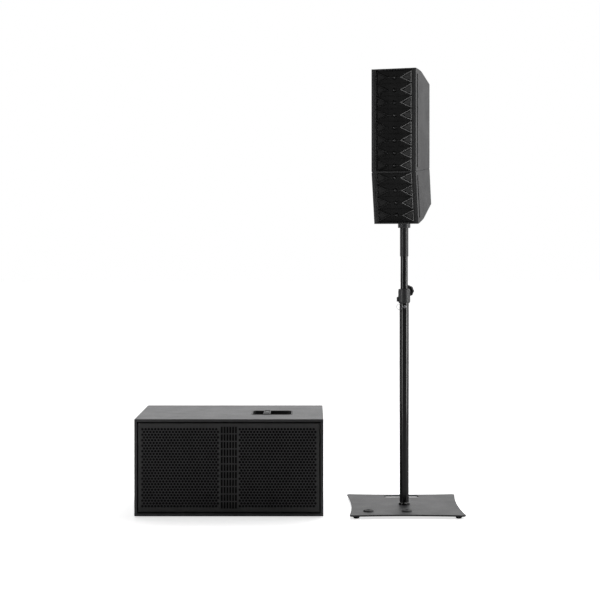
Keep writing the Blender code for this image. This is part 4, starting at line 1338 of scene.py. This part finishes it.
    def build_pin(self) -> None:
        """Builds the safety pin and its pull ring."""
        at = self.place @ shift(0, 0, self.pin_z) @ FACING_FRONT
        pin = Shape()
        profile = [
            (0, 0.0155), (0.0024, 0.0155), (0.0030, 0.0162), (0.0030, 0.0192), (0.0056, 0.0192),
            (0.0060, 0.0196), (0.0060, 0.0236), (0.0046, 0.0242), (0.0046, 0.0262), (0.0058, 0.0268),
            (0.0058, 0.0292), (0.0050, 0.0300), (0, 0.0300),
        ]
        pin.turn(profile, at, 48)
        low, high = (-0.0125, -0.0280, self.pin_z - 0.0015), (0.0, -0.0220, self.pin_z + 0.0015)
        eye = Shape().block(low, high, 0.0005, self.place, 2)
        through = self.place @ shift(-0.0095, -0.0250, self.pin_z)
        eye.cut(Shape().turn(rod(0.0016, -0.010, 0.010), through, 24))
        pin.take(eye.bm, HERE)
        present("safety_pin", pin, Finishes.CHROME, "pin", ["locking_pin"])
        low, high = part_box("pin_ring")
        middle, wire = (low + high) / 2, (high.y - low.y) / 2
        radius = (high.x - low.x) / 2 - wire
        turns = [math.tau * i / 72 for i in range(72)]
        line = [Vector((radius * math.cos(a), 0, radius * math.sin(a))) for a in turns]
        ring = Shape().wire(line, wire, shift(*middle), 14, True)
        present("pull_ring", ring, Finishes.CHROME, "ring", ["pin_ring"])

    def build_upper_tube(self) -> None:
        """Builds the upper tube and the adapter sleeve over its end."""
        low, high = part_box("upper_tube")
        outer, bore = (high.x - low.x) / 2, 0.0132
        profile = [
            (outer - 0.0004, high.z), (outer, high.z - 0.0005), (outer, low.z + 0.0005),
            (outer - 0.0004, low.z), (bore, low.z), (bore, high.z),
        ]
        tube = Shape().turn(profile, self.place, 96, shut=True)
        present("upper_pole", tube, Finishes.TUBE, "mast", ["upper_tube"])
        low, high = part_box("pole_adapter")
        outer, bore, tube_top = (high.x - low.x) / 2, 0.0153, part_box("upper_tube")[1].z + GAP
        profile = [
            (0, high.z), (outer - 0.0014, high.z), (outer - 0.0004, high.z - 0.0005),
            (outer, high.z - 0.0015), (outer, low.z + 0.0008), (outer - 0.0005, low.z), (bore, low.z),
            (bore, tube_top), (0, tube_top),
        ]
        sleeve = Shape().turn(profile, self.place, 96)
        present("adapter_sleeve", sleeve, Finishes.ADAPTER, "mast", ["pole_adapter"])


# ------------------------------------------------------------------ column


class End(Enum):
    """Which way a module stands from the seam between the two."""

    UPPER = 1
    LOWER = -1


@dataclass
class Module:
    """One module of the column: shell, waveguide and drivers."""

    end: End
    length: float
    cells: int
    place: Matrix
    width: float = 0.180
    depth: float = 0.228
    wall: float = 0.012
    end_wall: float = 0.006
    wedge: float = math.radians(5.6)
    knee_y: float = 0.089
    knee_drop: float = 0.005
    rear_drop: float = 0.043
    pitch: float = 0.0495
    bezel_side: float = 0.011
    bezel_end: float = 0.005
    bezel_seam: float = 0.0028
    seam_gap: float = 0.0009
    guide_t: float = 0.010
    set_back: float = 0.006
    mouth: float = 0.0086
    bed_flat: float = 0.0216
    bed_depth: float = 0.0146
    bed_edge: float = 0.0076
    margin: float = 0.0056
    bullet_depth: float = 0.0112
    wing_tip: float = 0.0232
    wing_base: float = 0.0722
    tip_depth: float = 0.0106
    base_depth: float = 0.0020

    @property
    def name(self) -> str:
        """Returns "upper" or "lower"."""
        return self.end.name.lower()

    def outline(self, hollow: bool = False) -> list[Point2]:
        """Draws the module's side, as (y, z) from the seam.

        Args:
            hollow: True for the room inside, which runs out through the front.

        Returns:
            Its points.
        """
        end, back_wall = (self.end_wall, self.wall) if hollow else (0.0, 0.0)
        slope = math.tan(self.wedge)
        fall = (self.rear_drop - self.knee_drop) / (self.depth - self.knee_y)
        front, back = -0.010 if hollow else 0.0, self.depth - back_wall
        points = [(front, front * slope + end), (back, back * slope + end)]
        points.append((back, self.length - self.knee_drop - (back - self.knee_y) * fall - end))
        steps = 12
        for step in range(steps, 0, -1):
            y = self.knee_y * step / steps
            points.append((y, self.length - self.knee_drop * (y / self.knee_y) ** 2 - end))
        points.append((front, self.length - end))
        up = self.end.value
        return [(y, up * z) for y, z in points]

    def slice(self, half: float, hollow: bool = False, place: Matrix = HERE) -> Shape:
        """Stretches the module's side across from -half to half, and returns the solid."""
        rings = [[(side * half, y, z) for y, z in self.outline(hollow)] for side in (-1, 1)]
        return Shape().skin(rings, place)

    def heights(self) -> list[float]:
        """Returns the middles of the cells, whose pitch carries on across the seam."""
        return [self.end.value * (self.seam_gap + (i + 0.5) * self.pitch) for i in range(self.cells)]

    def build(self, cuts: Sequence[Shape] = ()) -> None:
        """Builds and dresses every piece.

        Args:
            cuts: What else is cut out of the shell, in the common frame.
        """
        self.build_shell(cuts)
        self.build_guide()
        self.build_drivers()

    def build_shell(self, cuts: Sequence[Shape]) -> None:
        """Builds the painted shell, and dark strips in its side grooves as painted shade.

        Args:
            cuts: What else is cut out of it.
        """
        half = self.width / 2
        shell = self.slice(half)
        rear = [
            e
            for e in shell.bm.edges
            if all(abs(v.co.y - self.depth) < 1e-5 for v in e.verts)
            and abs(e.verts[0].co.x - e.verts[1].co.x) < TINY
        ]
        bmesh.ops.bevel(shell.bm, geom=rear, offset=0.007, segments=5, profile=0.5, affect="EDGES")
        shell.cut(self.slice(half - self.wall, hollow=True))
        up = self.end.value
        low, high = sorted((up * self.bezel_seam, up * (self.length - self.bezel_end)))
        mouth, deep = half - self.bezel_side, self.set_back + self.guide_t + GAP
        shell.cut(Shape().block((-mouth, -0.010, low), (mouth, deep, high), 0.0, HERE))
        low, high = sorted((up * 0.018, up * (self.length - 0.020)))
        slope, past = math.tan(self.wedge), 0.010
        seam = [(-past, -0.0022), (self.depth + past, -0.0022), (self.depth + past, 0.0018), (-past, 0.0018)]
        for side in (-1, 1):
            x = side * half
            shell.cut(Shape().block((x - 0.004, 0.0195, low), (x + 0.004, 0.0315, high), 0.0, HERE))
            ends = sorted((x - side * 0.0020, x + side * past))
            rings = [[(e, y, up * (y * slope + z)) for y, z in seam] for e in ends]
            shell.cut(Shape().skin(rings, HERE))
        shell.soften(0.0010, 2)
        shell.bm.transform(self.place)
        for tool in cuts:
            shell.cut(tool)
        present(f"{self.name}_module_shell", shell, Finishes.SHELL, "array", [f"{self.name}_cabinet"])
        # Dark rubber strips lining the floors of the side grooves: painted shade, standing in for the shade
        # inside the grooves.
        groove_shade_strips = Shape()
        for side in (-1, 1):
            near, far = sorted((side * (half - 0.0041), side * (half - 0.0028)))
            corners = (near, 0.0197, low + 0.0002), (far, 0.0313, high - 0.0002)
            groove_shade_strips.block(*corners, 0.0003, self.place)
        present(f"{self.name}_side_channels", groove_shade_strips, Finishes.RUBBER, "array", [f"{self.name}_cabinet"])

    def build_guide(self) -> None:
        """Builds the moulded front: a V-shaped bed with throats, wings, struts and bullets."""
        half_w = self.width / 2 - self.bezel_side - GAP
        height = self.length - self.bezel_seam - self.bezel_end - 2 * GAP
        middle = self.end.value * (self.bezel_seam + self.length - self.bezel_end) / 2
        front = self.place @ FACING_FRONT
        rear = self.set_back + self.guide_t
        loops = [rectangle(2 * self.bed_flat, height, 0, middle)]
        loops += [circle(self.mouth, 0, z, 40) for z in self.heights()]
        bed_t = rear - self.bed_depth
        guide = Shape().slab(loops, bed_t, 0.0002, front @ shift(0, 0, -rear + bed_t / 2))
        low, high = middle - height / 2, middle + height / 2
        wings, rims, bullets = Shape(), Shape(), Shape()
        for side in (-1, 1):
            inner, outer = side * (self.bed_flat - 0.0002), side * half_w
            within = outer - side * self.margin
            section = [(inner, -rear), (inner, -self.bed_depth), (within, -self.bed_edge), (within, -rear)]
            guide.skin([[(x, y, z) for x, z in section] for y in (low, high)], front)
            edge = [(within, -rear), (within, -0.0018), (within + side * 0.0005, -0.0012)]
            edge += [(outer, -0.0012), (outer, -rear)]
            wings.skin([[(x, y, z) for x, z in edge] for y in (low, high)], front)
        for z in self.heights():
            cell = front @ shift(0, z, 0)
            self.add_wings(wings, rims, cell)
            self.add_bullet(wings, bullets, guide, cell)
        for kind, shape, finish in (
            # the bed's finish is darkened as painted shade
            ("guide", guide, Finishes.BED_PAINTED_SHADE),
            ("wings", wings, Finishes.GUIDE),
            # the rims' finish is lightened as painted highlight
            ("wing_rims", rims, Finishes.RIM_PAINTED_HIGHLIGHT),
            ("bullets", bullets, Finishes.BULLET),
        ):
            present(f"{self.name}_{kind}", shape, finish, "array", [f"{self.name}_waveguide"])

    def add_wings(self, wings: Shape, rims: Shape, front: Matrix) -> None:
        """Adds one cell's two wings, each a raised rim round a shallow pocket.

        Args:
            wings: What the pockets are added to.
            rims: What the rims are added to.
            front: The middle of the cell, level with the module's front, local +Z pointing out.
        """
        tall = self.pitch * 0.478
        rim = [
            (0.0, -0.0090), (0.0, -0.0003), (0.0003, 0.0), (0.0029, 0.0), (0.0032, -0.0003),
            (0.0032, -0.0090),
        ]
        pocket = [(0.0031, -0.0090), (0.0031, -0.0046), (0.0052, -0.0046)]
        pocket += [(0.0058, -0.0034), (0.0125, -0.0034)]
        slope = (self.tip_depth - self.base_depth) / (self.wing_base - self.wing_tip)
        for side in (-1, 1):
            tip, base = side * self.wing_tip, side * self.wing_base
            corners = Outline(((tip, 0.0), (base, side * -tall), (base, side * tall)), 0.0008, 3)
            lean = Matrix.Identity(4)
            lean[2][0], lean[2][3] = side * slope, -slope * self.wing_base - self.base_depth
            rims.loft(corners, rim, front @ lean, shut=True)
            wings.loft(corners, pocket, front @ lean)

    def add_bullet(self, wings: Shape, bullets: Shape, bed: Shape, front: Matrix) -> None:
        """Adds one cell's strut and bullet, and the ridges between it and its neighbours.

        Args:
            wings: What the strut is added to.
            bullets: What the bullet is added to.
            bed: What the ridges are added to.
            front: The middle of the cell, level with the module's front, local +Z pointing out.
        """
        near = -self.bed_depth + 0.0010
        wings.block((-0.0255, -0.0009, near), (0.0255, 0.0009, near + 0.0022), 0.0004, front, 2)
        bullet = [
            (0, 0), (0.0022, -0.0001), (0.0040, -0.0007), (0.0050, -0.0018), (0.0052, -0.0034),
            (0.0030, -0.0060), (0, -0.0066),
        ]
        bullets.turn([(r, z - self.bullet_depth) for r, z in bullet], front, 40)
        for up in (-1, 1):
            z = up * (self.pitch / 2 - 0.0006)
            for side in (-1, 1):
                ridge = [
                    (side * 0.0010, -self.bed_depth - 0.0006),
                    (side * 0.0010, -self.bed_depth + 0.0016),
                    (side * 0.0720, -self.bed_edge + 0.0001), (side * 0.0720, -self.bed_edge - 0.0030),
                ]
                bed.skin([[(x, z + w, y) for x, y in ridge] for w in (-0.0005, 0.0005)], front)

    def build_drivers(self) -> None:
        """Builds the small drivers behind the throats."""
        deep = self.set_back + self.guide_t + GAP
        for number, z in enumerate(self.heights(), 1):
            node = f"{self.name}_driver_{number}"
            at = self.place @ shift(0, deep, z) @ FACING_FRONT
            profile = [
                (0, -0.0036), (0.0030, -0.0044), (0.0050, -0.0058), (0.0118, -0.0020),
                (0.0130, -0.0010), (0.0144, -0.0014), (0.0154, -0.0002), (0.0168, -0.0002),
                (0.0170, -0.0008), (0.0170, -0.0040), (0.0130, -0.0200), (0.0130, -0.0410),
                (0.0120, -0.0420), (0, -0.0420),
            ]
            present(f"{node}_unit", Shape().turn(profile, at, 40), Finishes.DRIVER, "array", [node])


@dataclass
class Column:
    """The column: two modules, the cast socket that takes the pole, and the rear socket."""

    yaw: float = math.radians(18.83)
    pole_depth: float = 0.161
    upper_length: float = 0.4055
    lower_length: float = 0.2068
    seam_z: float = 1.3475
    wedge: float = math.radians(5.6)
    socket_r: float = 0.025
    bore_r: float = 0.0173
    bolts: Point2 = (0.078, 0.180)

    def __post_init__(self) -> None:
        """Places the modules where the frame has them."""
        low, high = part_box("base_plate")
        self.axis = shift((low.x + high.x) / 2, (low.y + high.y) / 2, 0)
        turned = self.axis @ Matrix.Rotation(-self.yaw, 4, "Z")
        upper = turned @ shift(0, -self.pole_depth, self.seam_z)
        lean = Matrix.Rotation(2 * self.wedge, 4, "X")
        lower = turned @ shift(0, -self.pole_depth, self.seam_z - GAP) @ lean
        self.upper = Module(End.UPPER, self.upper_length, 8, upper)
        self.lower = Module(End.LOWER, self.lower_length, 4, lower)

    def build(self) -> None:
        """Builds and dresses every piece."""
        self.upper.build(self.bolt_bores())
        room = rod(self.socket_r + 2 * GAP, 1.100, 1.1896)
        rear = self.lower.place @ shift(0, self.lower.depth, -self.lower_length * 0.44) @ FACING_BACK
        hole = rod(0.012, -0.030, 0.010)
        cuts = [Shape().turn(room, self.axis, 64), Shape().turn(hole, rear, 48), *self.bolt_bores()]
        self.lower.build(cuts)
        PanelSocket("array_socket").build(rear, "array")
        self.build_pole_socket()
        dress(Finishes.ZINC, "link_bolt_front", "link_bolt_rear")

    def bolt_bores(self) -> list[Shape]:
        """Returns what makes room in the shells for the bolts that link the modules."""
        lean = Matrix.Rotation(self.wedge, 4, "X")
        bores = []
        for y in self.bolts:
            at = self.upper.place @ shift(0, y, y * math.tan(self.wedge)) @ lean
            bores.append(Shape().turn(rod(0.0043, -0.03, 0.03), at, 24))
        return bores

    def build_pole_socket(self) -> None:
        """Builds the cast cup and its flange, which follows the sloping bottom."""
        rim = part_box("pole_socket")[0].z
        bore_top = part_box("pole_adapter")[1].z + GAP
        r, bore = self.socket_r, self.bore_r
        cup_top = bore_top + 0.0067
        profile = [
            (0, cup_top), (r - 0.001, cup_top), (r, cup_top - 0.001), (r, rim + 0.0024),
            (r - 0.0006, rim + 0.0010), (r - 0.0020, rim), (bore + 0.0010, rim), (bore, rim + 0.0010),
            (bore, bore_top), (0, bore_top),
        ]
        cup = Shape().turn(profile, self.axis, 96)
        ring = [(0.0405, 1.150), (0.0420, 1.1515), (0.0420, 1.210), (r - 0.003, 1.210), (r - 0.003, 1.150)]
        flange = Shape().turn(ring, self.axis, 96, shut=True)
        module = self.lower
        flange.cut(module.slice(module.width / 2 + 0.002, place=module.place @ shift(0, 0, -GAP)))
        cup.take(flange.bm, HERE)
        present("pole_socket_cup", cup, Finishes.CAST, "array", ["pole_socket"])


# ------------------------------------------------------------------ studio


def pick_by_ray(
    tree: bpy.types.NodeTree,
    cast: bpy.types.NodeSocket,
    shown: bpy.types.NodeSocket,
    output: bpy.types.Node,
) -> None:
    """Lets a stage surface look one way and light the system another way.

    Args:
        tree: The surface's nodes.
        cast: The shader that lights the system.
        shown: The shader that is looked at.
        output: The tree's output.
    """
    pick = tree.nodes.new("ShaderNodeMixShader")
    ray = tree.nodes.new("ShaderNodeLightPath")
    tree.links.new(ray.outputs["Is Camera Ray"], pick.inputs["Fac"])
    tree.links.new(cast, pick.inputs[1])
    tree.links.new(shown, pick.inputs[2])
    tree.links.new(pick.outputs["Shader"], output.inputs["Surface"])


@dataclass
class Studio:
    """Pale floor, soft lights and the camera."""

    camera_at: Point3 = (0.0457, -5.575, 1.0798)
    focal_length: float = 82.554
    frame_shift: Point2 = (-0.01922, -0.09957)
    surround_from: float = -0.15
    surround_to: float = 0.75
    surround_dark: float = 0.06
    surround_bright: float = 1.35

    def build(self) -> None:
        """Sets up the studio."""
        self.build_camera()
        self.build_floor()
        self.build_lights()

    def build_camera(self) -> None:
        """Makes the camera, level and straight ahead."""
        data = bpy.data.cameras.new("camera")
        data.lens, data.sensor_width = self.focal_length, 36.0
        data.shift_x, data.shift_y = self.frame_shift
        camera = bpy.data.objects.new("camera", data)
        camera.location = self.camera_at
        camera.rotation_euler = (math.pi / 2, 0, 0)
        bpy.context.scene.collection.objects.link(camera)
        bpy.context.scene.camera = camera

    def build_floor(self) -> None:
        """Makes the floor, a plain pale sheet."""
        bm = bmesh.new()
        bmesh.ops.create_grid(bm, x_segments=4, y_segments=4, size=30.0)
        mesh = bpy.data.meshes.new("floor")
        bm.to_mesh(mesh)
        bm.free()
        floor = bpy.data.objects.new("floor", mesh)
        bpy.context.scene.collection.objects.link(floor)
        paint = bpy.data.materials.new("floor_paint")
        paint.use_nodes = True
        tree = paint.node_tree
        shown = tree.nodes["Principled BSDF"]
        shown.inputs["Base Color"].default_value = (0.92, 0.92, 0.92, 1)
        shown.inputs["Roughness"].default_value = 0.9
        shown.inputs["Emission Color"].default_value = (1, 1, 1, 1)
        shown.inputs["Emission Strength"].default_value = 0.70
        cast = tree.nodes.new("ShaderNodeBsdfDiffuse")
        cast.inputs["Color"].default_value = (0.55, 0.55, 0.55, 1)
        pick_by_ray(tree, cast.outputs["BSDF"], shown.outputs["BSDF"], tree.nodes["Material Output"])
        mesh.materials.append(paint)

    def build_lights(self) -> None:
        """Makes the white surround and the soft lights."""
        scene = bpy.context.scene
        scene.view_settings.view_transform = "Standard"
        world = bpy.data.worlds.new("surround")
        world.use_nodes = True
        scene.world = world
        self.shade_surround(world.node_tree)
        self.add_light("overhead", (0.8, 1.0, 3.4), (0.0, 0.1, 0.8), (2.6, 2.6), 70.0)
        self.add_light("right_side", (3.4, 0.4, 1.3), (0.4, 0.0, 0.9), (1.2, 2.2), 22.0)
        strips = (("right_strip", (3.1, -1.35, 1.2), 56.0), ("left_strip", (-2.1, -1.75, 1.2), 34.0))
        for name, at, power in strips:  # these two show only as highlights
            strip = self.add_light(name, at, (0.42, -0.03, 1.2), (0.62, 2.8), power)
            strip.visible_diffuse = False

    def shade_surround(self, tree: bpy.types.NodeTree) -> None:
        """Makes the surround white to look at, and as a light brightest behind the system.

        Args:
            tree: The surround's nodes.
        """
        shown = tree.nodes["Background"]
        shown.inputs["Color"].default_value = (1, 1, 1, 1)
        cast = tree.nodes.new("ShaderNodeBackground")
        way = tree.nodes.new("ShaderNodeTexCoord")
        split = tree.nodes.new("ShaderNodeSeparateXYZ")
        tree.links.new(way.outputs["Generated"], split.inputs["Vector"])
        back = tree.nodes.new("ShaderNodeMapRange")
        back.interpolation_type = "SMOOTHSTEP"
        back.inputs["From Min"].default_value = self.surround_from
        back.inputs["From Max"].default_value = self.surround_to
        back.inputs["To Min"].default_value = self.surround_dark
        back.inputs["To Max"].default_value = self.surround_bright
        tree.links.new(split.outputs["Y"], back.inputs["Value"])
        tree.links.new(back.outputs["Result"], cast.inputs["Strength"])
        pick_by_ray(tree, cast.outputs["Background"], shown.outputs["Background"], tree.nodes["World Output"])

    def add_light(
        self, name: str, at: Point3, target: Point3, size: Point2, power: float
    ) -> bpy.types.Object:
        """Adds a soft light.

        Args:
            name: Its name.
            at: Where it is.
            target: What it points at.
            size: Its width and its height.
            power: Its power in watts.

        Returns:
            The light.
        """
        data = bpy.data.lights.new(name, "AREA")
        data.shape, data.energy = "RECTANGLE", power
        data.size, data.size_y = size
        light = bpy.data.objects.new(name, data)
        light.location = at
        light.visible_camera = False
        light.rotation_euler = (Vector(target) - Vector(at)).to_track_quat("-Z", "Y").to_euler()
        bpy.context.scene.collection.objects.link(light)
        return light


def main() -> None:
    """Builds the whole system and its studio."""
    logging.basicConfig(level=logging.INFO, format="%(name)s: %(message)s")
    Studio().build()
    for part in (BassCabinet(), AmplifierPanel(), PlateStand(), Column()):
        LOG.info("building %s", type(part).__name__)
        part.build()


if __name__ == "__main__":
    main()
